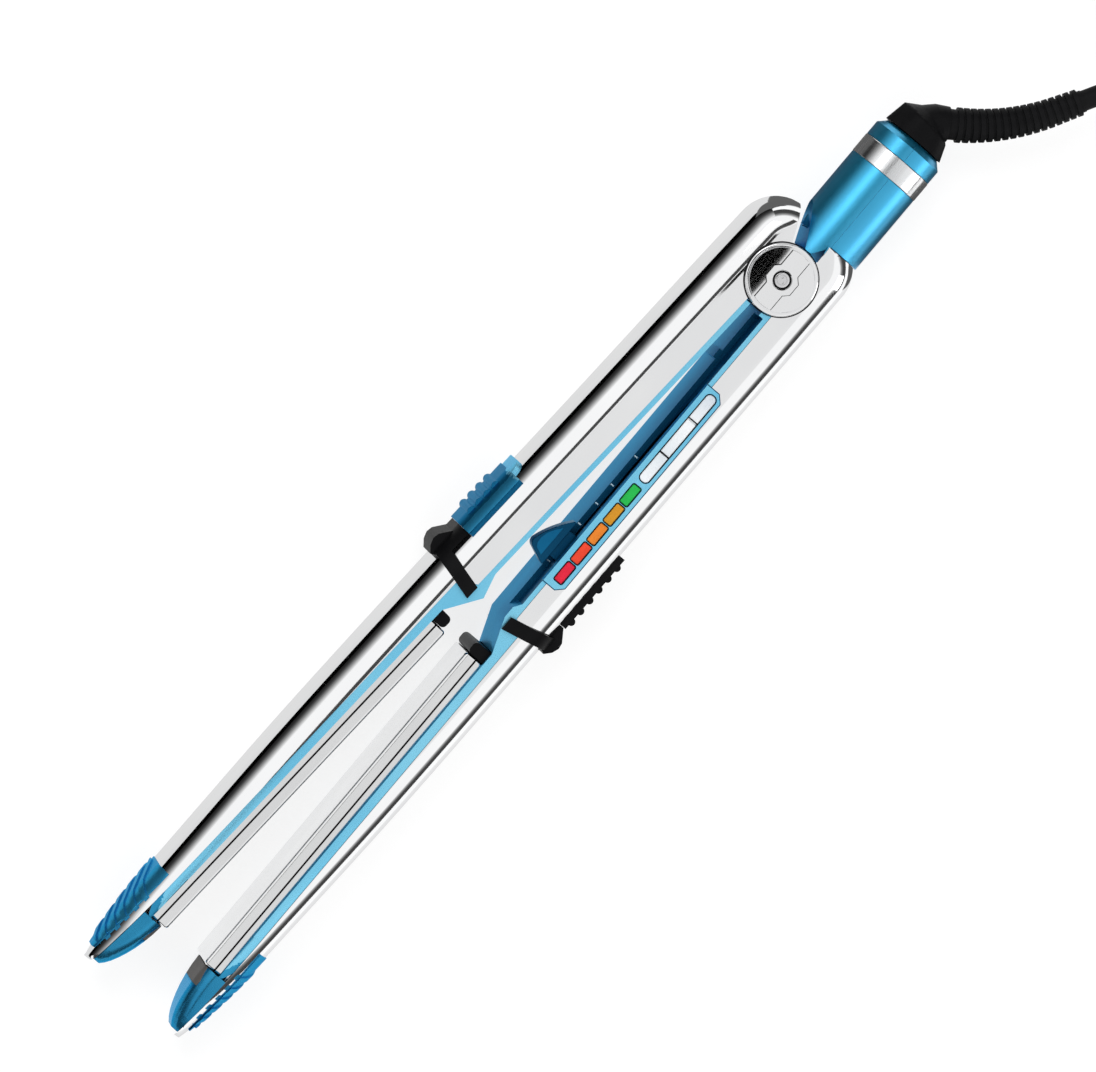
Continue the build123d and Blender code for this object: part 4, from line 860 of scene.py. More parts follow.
@dataclass(frozen=True)
class SideView:
    """The outline of one arm seen along the hinge, and how its bullet tip closes."""

    heel: Point2 = (-8.5, 5.8)
    heel_radius: float = 14.0
    knots: tuple[Point3, ...] = (
        (-8.5, 19.8, 0.0),
        (70.0, 19.1, -0.00906),
        (135.0, 18.5, -0.01296),
        (205.0, 17.35, -0.02638),
        (262.0, 15.15, -0.04),
    )
    knot_steps: int = 9
    base: float = -1.0
    tip_length: float = 39.95
    tip_half: float = 3.0
    tip_drop: Point2 = (1.8, 1.9)
    tip_steps: int = 22
    end: float = 301.95

    def back(self) -> list[Point2]:
        """Corners along the back, from the heel to where the tip starts.

        Returns:
            The corners, on a smooth curve through the knots.
        """
        corners = []
        for (x0, y0, slope0), (x1, y1, slope1) in zip(self.knots, self.knots[1:]):
            span = x1 - x0
            for step in range(self.knot_steps):
                t = step / self.knot_steps
                rest = 1.0 - t
                height = y0 * (1 + 2 * t) * rest**2 + y1 * (3 - 2 * t) * t**2
                height += span * (slope0 * t * rest**2 - slope1 * t**2 * rest)
                corners.append((x0 + span * t, height))
        corners.append(self.knots[-1][:2])
        return corners

    def outline(self) -> list[Point2]:
        """The closed outline, from the heel round to the base line.

        Returns:
            Its corners.
        """
        heel = arc(self.heel, self.heel_radius, 180.0, 90.0, 18)
        return [(heel[0][0], self.base), *heel, *self.back()[1:], (self.knots[-1][0], self.base)]

    def on_back(self, edge: Edge) -> bool:
        """Whether an edge runs along the heel or the back."""
        first, second = edge.verts
        at_tip = min(first.co.x, second.co.x) > self.knots[-1][0] - 0.01
        return abs(first.co.z - second.co.z) < 0.01 and max(first.co.y, second.co.y) > 0.0 and not at_tip

    def closing(self, share: float) -> Callable[[Vector], Vector]:
        """Where points of the section at the tip's start go at a share of the tip.

        Args:
            share: Share of the tip's length, 0 to 1.

        Returns:
            The move.
        """
        start_back = self.knots[-1][1]
        half = self.tip_half + (BODY_HALF - self.tip_half) * max(0.0, 1.0 - share**2) ** 0.55
        back = start_back - self.tip_drop[0] * share - self.tip_drop[1] * share**3
        corner = min(BACK_ROUND, 0.75 * half)

        def move(point: Vector) -> Vector:
            """Place one point."""
            off = abs(point.z - MID_Z) - (BODY_HALF - BACK_ROUND)
            rise = point.y - (start_back - BACK_ROUND)
            if rise <= 0.02:
                width = half
                level = point.y if point.y < 0.0 else back - corner
            elif off <= 0.02:
                width = (off / (BODY_HALF - BACK_ROUND) + 1.0) * (half - corner)
                level = back
            else:
                turn = math.atan2(rise, off)
                width = half - corner + corner * math.cos(turn)
                level = back - corner + corner * math.sin(turn)
            side = 1.0 if point.z > MID_Z else -1.0
            return Vector((self.knots[-1][0] + self.tip_length * share, level, MID_Z + side * width))

        return move

    def shell(self) -> Form:
        """The skin of the arm, open towards the closed plane.

        Returns:
            The skin, facing outwards.
        """
        form = Form()
        form.prism(self.outline(), Across.Z, MID_Z - BODY_HALF, MID_Z + BODY_HALF)
        form.soften(BACK_ROUND, 14, 60.0, self.on_back)
        form.bm.normal_update()
        open_faces = [face for face in form.bm.faces if face.normal.y < -0.9 or face.normal.x > 0.9]
        bmesh.ops.delete(form.bm, geom=open_faces, context="FACES")
        start = self.knots[-1][0]
        rim = [
            edge
            for edge in form.bm.edges
            if len(edge.link_faces) == 1 and min(vert.co.x for vert in edge.verts) > start - 0.5
        ]
        shares = [
            math.sin(math.radians(90.0 * step / self.tip_steps)) for step in range(1, self.tip_steps + 1)
        ]
        last = form.pull_edges(rim, [self.closing(share) for share in shares])
        ends = [vert for edge in last for vert in edge.verts if vert.co.y < self.base + 0.1]
        closing = form.bm.edges.new(sorted(set(ends), key=lambda vert: vert.co.z))
        bmesh.ops.edgenet_fill(form.bm, edges=[*last, closing])
        form.face_outwards()
        return form


@dataclass
class Arm:
    """One sprung arm: steel channel, inner frame, grips, tip and heater plate."""

    bench: Bench
    side: Side
    view: SideView = SideView()
    bend_x: Point2 = (133.5, 137.5)
    heated_edge: float = 9.2
    knuckle_well: float = 11.2
    barrel_cut: float = -17.4
    heel_cut: tuple[Point2, ...] = ((-11.0, -4.0), (-11.0, 5.7), (-24.0, 11.9), (-24.0, -4.0))
    panel_floor: float = 31.2
    plate_x: Point2 = (151.3, 278.3)
    plate_half: float = 14.0
    plate_corner: float = 1.4
    plate_round: float = 1.2
    plate_back: float = 8.0
    plate_face: float = 0.15
    groove_y: Point2 = (3.85, 4.45)
    groove_depth: float = 0.7

    @property
    def edge(self) -> float:
        """Distance of the channel's edge from the closed plane along the handle."""
        return 5.2 if self.side is Side.LOWER else 3.7

    def node(self, part: str) -> str:
        """Name of one of this arm's CAD nodes."""
        return f"{self.side.value}_{part}"

    def casing(self) -> Form:
        """The pressed steel channel with its bullet end.

        Returns:
            The channel, where its arm lies.
        """
        reach = self.view.end + 5.0
        mouth = Form()
        bend_low, bend_high = self.bend_x
        corners = [(-30.0, -3.0), (-30.0, self.edge), (bend_low, self.edge), (bend_high, self.heated_edge)]
        mouth.prism([*corners, (reach, self.heated_edge), (reach, -3.0)], Across.Z, BELOW, ABOVE)
        well = [(BELOW, 0.0), (BELOW, self.knuckle_well), (ABOVE, self.knuckle_well), (ABOVE, 0.0)]
        tools = [mouth, Form().lathe(well)]
        if self.side is Side.LOWER:
            behind = Form()
            behind.block((-60.0, -3.0, BELOW), (self.barrel_cut, 60.0, ABOVE))
            recess = Form()
            recess.prism(panel_outline(), Across.Z, self.panel_floor, ABOVE)
            tools += [behind, recess]
        else:
            heel = Form()
            heel.prism(self.heel_cut, Across.Z, BELOW, ABOVE)
            tools.append(heel)
        form = carve(self.view.shell(), tools, SHEET)
        form.turn_to(self.side)
        return form

    def plate_ring(self, level: float, inset: float) -> list[Vector]:
        """The plate's outline at a distance from the closed plane, drawn inwards by an inset."""
        low = (self.plate_x[0] + inset, MID_Z - self.plate_half + inset)
        high = (self.plate_x[1] - inset, MID_Z + self.plate_half - inset)
        return [Vector((x, level, z)) for x, z in rounded(low, high, max(0.2, self.plate_corner - inset))]

    def plate(self) -> Form:
        """The heater plate, its hot face round-edged and a groove along its sides.

        Returns:
            The plate, where its arm lies.
        """
        form = Form()
        turns = [math.radians(15.0 * step) for step in range(7)]
        levels = [(self.plate_back, 0.0), (self.groove_y[1], 0.0), (self.groove_y[1], self.groove_depth)]
        levels += [(self.groove_y[0], self.groove_depth), (self.groove_y[0], 0.0)]
        centre = self.plate_face + self.plate_round
        levels += [
            (centre - self.plate_round * math.sin(turn), self.plate_round * (1.0 - math.cos(turn)))
            for turn in turns
        ]
        form.rings([self.plate_ring(level, inset) for level, inset in levels])
        form.turn_to(self.side)
        return form

    def plate_shade_lines(self) -> Form:
        """Thin black bands as painted shade in the plate's groove and round its back edge.

        Returns:
            The bands, where their arm lies.
        """
        form = Form()
        for low_y, high_y, inset in ((self.groove_y[0], self.groove_y[1], 0.2), (7.05, 7.9, -0.14)):
            path = ((low_y, inset), (high_y, inset), (high_y, 1.0), (low_y, 1.0), (low_y, inset))
            band = Form()
            band.rings([self.plate_ring(level, inward) for level, inward in path], cap=False)
            band.merge()
            band.face_outwards()
            form.join(band)
        form.turn_to(self.side)
        return form

    def liner_zones(self) -> list[Zone]:
        """Painted light and shade on the inner frame: lighter ledges as painted light, a darker inner face
        and a dark channel as painted shade.

        Returns:
            The zones, the last of which wins.
        """
        look = self.bench.palette

        def inner(_: Vector, normal: Vector) -> bool:
            """Whether a face looks at the other arm."""
            return normal.y < -0.7 if self.side is Side.LOWER else normal.y > 0.7

        def ledge(centre: Vector, normal: Vector) -> bool:
            """Whether a face lies level near the top."""
            return normal.z > 0.7 and centre.z > 30.0

        def channel(centre: Vector, normal: Vector) -> bool:
            """Whether a face is in the knob's channel."""
            floor = normal.z > 0.7 and 23.0 < centre.z < 26.0
            wall = normal.y < -0.7 and centre.y > 2.8 and centre.x < 132.0
            return self.side is Side.LOWER and centre.x > 12.0 and (floor or wall)

        # Painted shade on the inner faces and in the knob's channel, painted light on the level ledges.
        return [Zone(look.mid, inner), Zone(look.sky, ledge), Zone(look.navy, channel)]

    def build(self) -> None:
        """Build every piece of the arm."""
        look, dress, fit, paint = self.bench.tools()
        body = self.side.body
        casing = fit(
            self.node("casing_shown"), self.casing(), look.steel, body, [self.node("casing")], 40.0, 0.16
        )
        casing.modifiers["soft"].segments = 2
        dress(self.node("liner"), look.blue, body, soft=0.2, zones=self.liner_zones())
        dress(self.node("collar"), look.black, body, soft=0.45)
        # Painted light: the tip's level top faces get the lighter blue.
        shelf = Zone(look.sky, lambda centre, normal: normal.z > 0.7 and centre.z > 33.0 and centre.x < 278.0)
        dress(self.node("tip"), look.cone, body, zones=[shelf])
        dress(self.node("tip_grip"), look.blue, body, soft=0.3)
        dress(self.node("tip_pad"), look.pad, body, soft=0.2)
        plate_body = f"{self.side.value}_plate_body"
        fit(self.node("plate_shown"), self.plate(), look.plate, plate_body, [self.node("plate")], 50.0)
        # Painted shade: black bands in the plate's groove and round its back edge.
        fit(self.node("plate_shade_lines"), self.plate_shade_lines(), look.black, plate_body, sharp=50.0)
        dress(self.node("end_block"), look.black, body, soft=0.3)
        paint(self.node("heater"), look.ceramic)
        paint(self.node("heat_shield"), look.ceramic)
        paint(self.node("plate_springs"), look.pin)
        if self.side is Side.UPPER:
            # Painted light and shade on the thumb grip: its upward faces get the plain blue, its other faces
            # the deeper blue.
            top = Zone(look.blue, lambda centre, normal: normal.z > 0.5 and centre.z > 30.0)
            tongue = Zone(look.sky, lambda centre, normal: centre.x < 100.6)
            dress("thumb_grip", look.deep, body, soft=0.3, zones=[top, tongue])
            paint("temperature_sensor", look.nylon)
        else:
            dress("lower_grip_pad", look.rubber, body, soft=0.3)
            paint("thermal_fuse", look.nylon)


@dataclass
class Hinge:
    """The hinge's caps, screw, pin, washers and opening spring."""

    bench: Bench
    radius: float = 11.6
    low: float = 34.4
    top: float = 35.8
    rim: float = 0.55
    curve: float = 105.0
    ring_groove: float = 10.35
    bar_y: Point2 = (-3.4, 3.2)
    bar_reach: float = 10.0
    bar_rise: float = 0.35
    boss: float = 5.3
    seat: float = 3.0
    seat_depth: float = 0.9
    screw: float = 2.4
    screw_core: float = 1.5
    hole: float = 0.46
    hole_place: float = 0.82

    def cap(self) -> Form:
        """The upper cap, curved down to both sides of its bar, with its boss and screw seat.

        Returns:
            The cap.
        """
        shoulder = self.radius - self.rim
        edge = self.top
        profile = [(self.low, self.seat), (self.low, self.radius), (edge - self.rim, self.radius)]
        for step in range(1, 7):
            turn = math.radians(15.0 * step)
            profile.append((edge - self.rim * (1.0 - math.sin(turn)), shoulder + self.rim * math.cos(turn)))
        groove = self.ring_groove
        profile += [(edge, groove + 0.16), (edge - 0.12, groove + 0.06)]
        profile += [(edge - 0.12, groove - 0.06), (edge, groove - 0.16)]
        profile += [(edge, radius) for radius in (9.0, 7.5, 6.0, 4.5, self.seat)]
        profile.append((self.low, self.seat))
        form = Form().lathe(profile, 144)
        for vert in form.bm.verts:
            if vert.co.z > self.low + 0.5:
                vert.co.z -= vert.co.y**2 / (2.0 * self.curve)
        top = self.top + self.bar_rise
        bar = Form()
        bar.prism(self.bar_outline(), Across.Z, self.top - 0.9, top)
        bar.soften(0.16, 3, 60.0, lambda edge: min(vert.co.z for vert in edge.verts) > top - 0.01)
        wide = self.seat + 0.55
        seat = [(self.low - 1.0, 0.0), (self.low - 1.0, self.seat), (top - 0.25, self.seat)]
        seat += [(top + 0.3, wide), (top + 1.0, wide), (top + 1.0, 0.0)]
        return form.join(carve(bar, [Form().lathe(seat, 64)]))

    def bar_outline(self, grow: float = 0.0) -> list[Point2]:
        """The outline of the bar across the cap with its eight-sided boss.

        Args:
            grow: How much further out its sides lie.

        Returns:
            Its corners, anticlockwise.
        """
        low, high = self.bar_y[0] - grow, self.bar_y[1] + grow
        start = math.degrees(math.asin(low / self.bar_reach))
        stop = math.degrees(math.asin(high / self.bar_reach))
        near = self.boss * math.cos(math.radians(22.5)) + grow
        far = self.boss * math.sin(math.radians(22.5)) + 0.4 * grow
        right = arc((0.0, 0.0), self.bar_reach, start, stop, 6)
        upper = [(near + far - high, high), (far, near), (-far, near), (high - near - far, high)]
        left = [(-x, y) for x, y in reversed(right)]
        lower = [(-near - far - low, low), (-far, -near), (far, -near), (near + far + low, low)]
        return [*right, *upper, *left, *lower]

    def foot(self) -> Form:
        """A dark ring as painted shadow round the foot of the cap.

        Returns:
            The line.
        """
        inner, outer = self.radius - 0.03, self.radius + 0.38
        foot, top = self.low - 0.1, self.low + 0.42
        line = [
            (foot, inner),
            (foot, outer),
            (top - 0.1, outer),
            (top, outer - 0.1),
            (top, inner),
            (foot, inner),
        ]
        return Form().lathe(line, 128)

    def screw_head(self) -> Form:
        """The low screw head with a core and two spanner holes.

        Returns:
            The head.
        """
        top = self.top + self.bar_rise - 0.2
        floor = self.top + self.bar_rise - self.seat_depth
        core = self.screw_core
        head = [(floor, 0.0), (floor, self.screw), (top - 0.22, self.screw), (top - 0.06, self.screw - 0.07)]
        head += [(top, self.screw - 0.24), (top, core + 0.22), (top - 0.16, core + 0.1), (top - 0.16, core)]
        head += [(top - 0.04, core - 0.08), (top - 0.04, 0.0)]
        drill = [(top - 0.5, 0.0), (top - 0.5, self.hole), (top + 1.0, self.hole), (top + 1.0, 0.0)]
        out = Vector((0.75, 0.66, 0.0)) * self.hole_place
        return carve(Form().lathe(head, 64), [Form().lathe(drill, 24, side * out) for side in (-1.0, 1.0)])

    def dark_seat_ring(self) -> Form:
        """The dark ring round the screw head.

        Returns:
            The ring.
        """
        floor = self.top + self.bar_rise - self.seat_depth
        inner, outer, top = self.screw + 0.03, self.seat - 0.02, floor + 0.42
        return Form().lathe([(floor, inner), (floor, outer), (top, outer), (top, inner), (floor, inner)], 64)

    def build(self) -> None:
        """Build every piece of the hinge."""
        look, dress, fit, paint = self.bench.tools()
        body = Side.LOWER.body
        fit("hinge_cap_top_shown", self.cap(), look.steel, body, ["hinge_cap_top"], 28.0)
        dress("hinge_cap_bottom", look.steel, body, soft=0.2)
        fit("hinge_screw_shown", self.screw_head(), look.pin, body, ["hinge_screw"], 28.0)
        # A dark ring laid in the screw's seat, round the head.
        fit("hinge_dark_seat_ring", self.dark_seat_ring(), look.rubber, body)
        # Painted shadow: a dark ring round the foot of the cap.
        fit("hinge_cap_shadow_ring", self.foot(), look.black, body)
        seam = Form()
        seam.prism(self.bar_outline(0.2), Across.Z, self.low + 0.2, self.top + 0.02)
        well = [(30.0, 0.0), (30.0, self.seat + 0.2), (40.0, self.seat + 0.2), (40.0, 0.0)]
        fit("hinge_bar_seam", carve(seam, [Form().lathe(well, 48)]), look.black, body)
        paint("hinge_pin", look.pin)
        paint("hinge_washers", look.nylon)
        paint("opening_spring", look.pin)


@dataclass
class LightStrip:
    """The heat lights, their panel, the slide switch and its knob."""

    bench: Bench
    lamps: tuple[Lens, ...] = (
        Lens("light_red", "light_red", (0.68, 0.014, 0.042)),
        Lens("light_red_orange", "light_red_orange", (0.76, 0.056, 0.023)),
        Lens("light_orange", "light_orange", (0.75, 0.212, 0.021)),
        Lens("light_amber", "light_amber", (0.58, 0.255, 0.015)),
        Lens("light_green", "light_green", (0.016, 0.434, 0.069)),
    )
    nodes: tuple[str, ...] = ("light_hottest", "light_hot", "light_medium", "light_warm", "light_power")
    face: float = 34.7
    first_lens: float = 113.05
    lens_pitch: float = 7.9
    lens_size: Point2 = (7.1, 3.1)
    lens_y: float = 7.35
    label_x: Point2 = (41.3, 75.8)
    label_width: float = 3.5
    divider_places: tuple[float, ...] = (51.2, 65.0)
    divider: float = 0.2
    rim: float = 0.32
    rim_rise: float = 0.07
    shadow_width: float = 0.32
    tick_places: tuple[float, ...] = (113.4, 105.6, 98.4, 90.1, 82.6, 71.1)
    tick_y: Point2 = (2.1, 3.3)
    channel_floor: float = 24.4
    knob_top: float = 30.2
    # fmt: off
    knob_face: tuple[Point2, ...] = (
        (102.6, -1.3), (104.6, -2.9), (106.9, -4.3), (109.2, -4.9),
        (111.4, -4.7), (112.5, -3.9), (113.6, -1.3),
    )
    # fmt: on

    def rims(self) -> Form:
        """Thin black frames round the lenses and the label.

        Returns:
            The frames.
        """
        form = Form()
        (length, width), rim = self.lens_size, self.rim
        middles = [self.first_lens - index * self.lens_pitch for index in range(len(self.nodes))]
        lights = [(middle - length / 2, middle + length / 2, width / 2 + rim, 0.85, 5) for middle in middles]
        half = self.label_width / 2 + rim
        for first, last, reach, corner, steps in (*lights, (*self.label_x, half, half * 0.9, 8)):
            outline = rounded(
                (first - rim, self.lens_y - reach), (last + rim, self.lens_y + reach), corner, steps
            )
            form.frame(outline, rim, Across.Z, self.face - 0.3, self.face + self.rim_rise)
        return form

    def dividers(self) -> Form:
        """The two dark bars across the label.

        Returns:
            The bars.
        """
        form = Form()
        half = self.label_width / 2
        for place in self.divider_places:
            form.block(
                (place - self.divider, self.lens_y - half, self.face - 0.3),
                (place + self.divider, self.lens_y + half, self.face + self.rim_rise),
            )
        return form

    def panel_shadow_outline(self) -> Form:
        """A dark line as painted shadow where the panel meets the steel.

        Returns:
            The line.
        """
        form = Form()
        form.frame(panel_outline(self.shadow_width), self.shadow_width, Across.Z, self.face - 0.5, self.face - 0.18)
        return form

    def ticks(self) -> Form:
        """The six small marks beside the knob's way.

        Returns:
            The marks.
        """
        form = Form()
        for place in self.tick_places:
            form.block(
                (place - 0.22, self.tick_y[0], self.channel_floor - 0.1),
                (place + 0.22, self.tick_y[1], self.channel_floor + 0.05),
            )
        return form

    def knob_inlay(self) -> Form:
        """The lighter face let into the knob.

        Returns:
            The face.
        """
        form = Form()
        form.prism(self.knob_face, Across.Z, self.knob_top - 0.3, self.knob_top + 0.12)
        form.soften(0.1, 2, 60.0)
        return form

    def build(self) -> None:
        """Build every piece of the strip."""
        look, dress, fit, paint = self.bench.tools()
        body = Side.LOWER.body
        # Painted light: the panel's upward faces get the lighter blue.
        top = Zone(look.sky, lambda centre, normal: normal.z > 0.7)
        dress("light_panel", look.blue, body, soft=0.18, zones=[top])
        for node, lamp in zip(self.nodes, self.lamps):
            dress(node, lamp, body, soft=0.25)
        dress("label_window", look.silver, body, soft=0.1)
        fit("light_rims", self.rims(), look.black, body)
        fit("label_dividers", self.dividers(), look.black, body)
        # Painted shadow: a dark line round the panel where it meets the steel.
        fit("panel_shadow_line", self.panel_shadow_outline(), look.navy, body)
        fit("heat_ticks", self.ticks(), look.mark, body)
        paint("circuit_board", look.board)
        paint("slide_switch", look.nylon)
        dress("slider_knob", look.navy, "slider", soft=0.45)
        fit("knob_inlay", self.knob_inlay(), look.deep, "slider", soft=0.05)


@dataclass
class Barrel:
    """The split barrel behind the hinge, with its band."""

    bench: Bench
    centre_y: float = 6.3
    radius: float = 12.4
    band_x: Point2 = (-52.75, -45.75)
    band_depth: float = 0.85
    band_proud: float = 0.1

    def band(self) -> Form:
        """The steel band let into the barrel.

        Returns:
            The band.
        """
        rear, front = self.band_x
        inner, outer = self.radius - self.band_depth, self.radius + self.band_proud
        edge = ((0.0, inner), (0.0, outer - 0.3), (0.12, outer - 0.09), (0.35, outer))
        profile = [(rear + step, radius) for step, radius in edge]
        profile += [(front - step, radius) for step, radius in reversed(edge)]
        profile.append(profile[0])
        return Form().lathe(profile, 128, Vector((0.0, self.centre_y, MID_Z)), Vector((1.0, 0.0, 0.0)))

    def build(self) -> None:
        """Build every piece of the barrel."""
        look, dress, fit, paint = self.bench.tools()
        body = Side.LOWER.body
        # Painted shade: the upright front faces of the upper half that face the closed plane get the deeper
        # blue.
        scoop = Zone(
            look.deep, lambda centre, normal: abs(normal.z) < 0.02 and normal.y < -0.2 and centre.x > -29.0
        )
        dress("barrel_half_upper", look.gloss, body, soft=0.3, zones=[scoop])
        dress("barrel_half_lower", look.gloss, body, soft=0.3)
        fit("barrel_band_shown", self.band(), look.ring, body, ["barrel_band"], 40.0)
        paint("swivel_bush", look.nylon)


@dataclass
class Cord:
    """The boot, the strain relief, the 2.5 m cord and its plug."""

    bench: Bench
    diameter: float = 6.6
    length: float = 2505.0
    exit: Point3 = (-104.24, 39.64, 17.9)
    lead: tuple[Point3, ...] = (
        (-104.24, 39.64, 17.9),
        (-121.57, 49.64, 17.9),
        (-140.59, 55.82, 24.6),
        (-165.31, 63.85, 24.6),
    )
    tail: tuple[Point3, ...] = (
        (-208.21, 63.29, 3.3),
        (-221.50, 58.91, 3.3),
        (-235.75, 54.21, 7.0),
        (-248.09, 50.14, 7.0),
    )
    coil_middle: Point2 = (-185.99, 21.58)
    coil_start: float = 72.0
    coil_layers: int = 4
    layer_turns: float = 2.5264
    middle_radius: float = 37.5
    pitch: float = 7.2
    layer_height: float = 7.1
    points_per_turn: int = 16

    def coil_radius(self, turns: float) -> float:
        """Distance of the coil's middle line from its centre after some turns."""
        width = self.pitch * self.layer_turns
        layer = min(int(turns / self.layer_turns), self.coil_layers - 1)
        along = turns / self.layer_turns - layer
        reach = width / 2 - width * along
        return self.middle_radius + (reach if layer % 2 == 0 else -reach)

    def coil_height(self, turns: float) -> float:
        """Height of the coil's middle line after some turns."""
        step = self.layer_turns / 10
        height = self.diameter / 2 + (self.coil_layers - 1) * self.layer_height
        for layer in range(1, self.coil_layers):
            share = (turns - (layer * self.layer_turns - step)) / (2 * step)
            share = min(max(share, 0.0), 1.0)
            height -= self.layer_height * (1.0 - math.cos(math.pi * share)) / 2
        return height

    def coil(self) -> list[Point3]:
        """The coil's turns as control points of the cord's own spline.

        Returns:
            The points, from the top layer down.
        """
        points = []
        count = round(self.coil_layers * self.layer_turns * self.points_per_turn)
        for index in range(count + 1):
            turns = self.coil_layers * self.layer_turns * index / count
            turn = math.radians(self.coil_start + 360.0 * turns)
            radius = self.coil_radius(turns)
            place = (
                self.coil_middle[0] + radius * math.cos(turn),
                self.coil_middle[1] + radius * math.sin(turn),
            )
            points.append((*place, self.coil_height(turns)))
        return points

    def cord(self) -> None:
        """The free cord as one smooth spline along the route of the CAD solids."""
        curve = bpy.data.curves.new("cord", "CURVE")
        curve.dimensions = "3D"
        curve.resolution_u = 6
        curve.bevel_depth = self.diameter / 2 * MM
        curve.bevel_resolution = 5
        curve.use_fill_caps = True
        spline = curve.splines.new("NURBS")
        route = [*self.lead, *self.coil(), *self.tail]
        spline.points.add(len(route) - 1)
        for point, place in zip(spline.points, route):
            point.co = (*(part * MM for part in place), 1.0)
        spline.order_u = 3
        spline.use_endpoint_u = True
        cord = show("cord", curve)
        look = self.bench.palette.rubber
        curve.materials.append(self.bench.wardrobe.material(look))
        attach(cord, "swivel")
        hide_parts("cord_lead", "cord_coil", "cord_tail")
        LOG.info("cord: %d control points", len(route))

    def build(self) -> None:
        """Build every piece of the cord."""
        look = self.bench.palette
        self.bench.dress("plug_body", look.rubber, "swivel", soft=0.5)
        self.bench.dress("plug_blades", look.blades, "swivel", soft=0.3)
        self.cord()
        self.bench.dress("swivel_boot", look.black, "swivel", 20.0)
        self.bench.dress("strain_relief", look.rubber, "swivel", soft=0.25)


# Studio


@dataclass(frozen=True)
class Card:
    """A plain card that only shows in reflections, with a tone that may change along it."""

    name: str
    corners: tuple[Point3, ...]
    stops: tuple[Point2, ...] = ((0.0, 0.0),)
    axis: str = "Z"
    low: float = 0.0
    high: float = 1.0

    def material(self) -> Material:
        """The card's own glow, from one tone to the next along an axis.

        Returns:
            The material.
        """
        board = NodeBoard(self.name)
        board.set(Base_Color=(0.0, 0.0, 0.0), Specular_IOR_Level=0.0, Emission_Strength=1.0)
        tones = [(where, (tone, tone, tone)) for where, tone in self.stops]
        board.link(board.ramp(board.along(self.axis, self.low, self.high), tones), "Emission Color")
        return board.material

    def stand(self, form: Form) -> None:
        """Set the card up where only reflections show it."""
        card = show(self.name, form.mesh(self.name))
        card.data.materials.append(self.material())
        card.visible_camera = False
        card.visible_diffuse = False
        card.visible_shadow = False
        card.visible_transmission = False

    def stand_flat(self) -> None:
        """Set the card up as one flat face between its corners."""
        form = Form()
        form.bm.faces.new([form.bm.verts.new(corner) for corner in self.corners])
        self.stand(form)


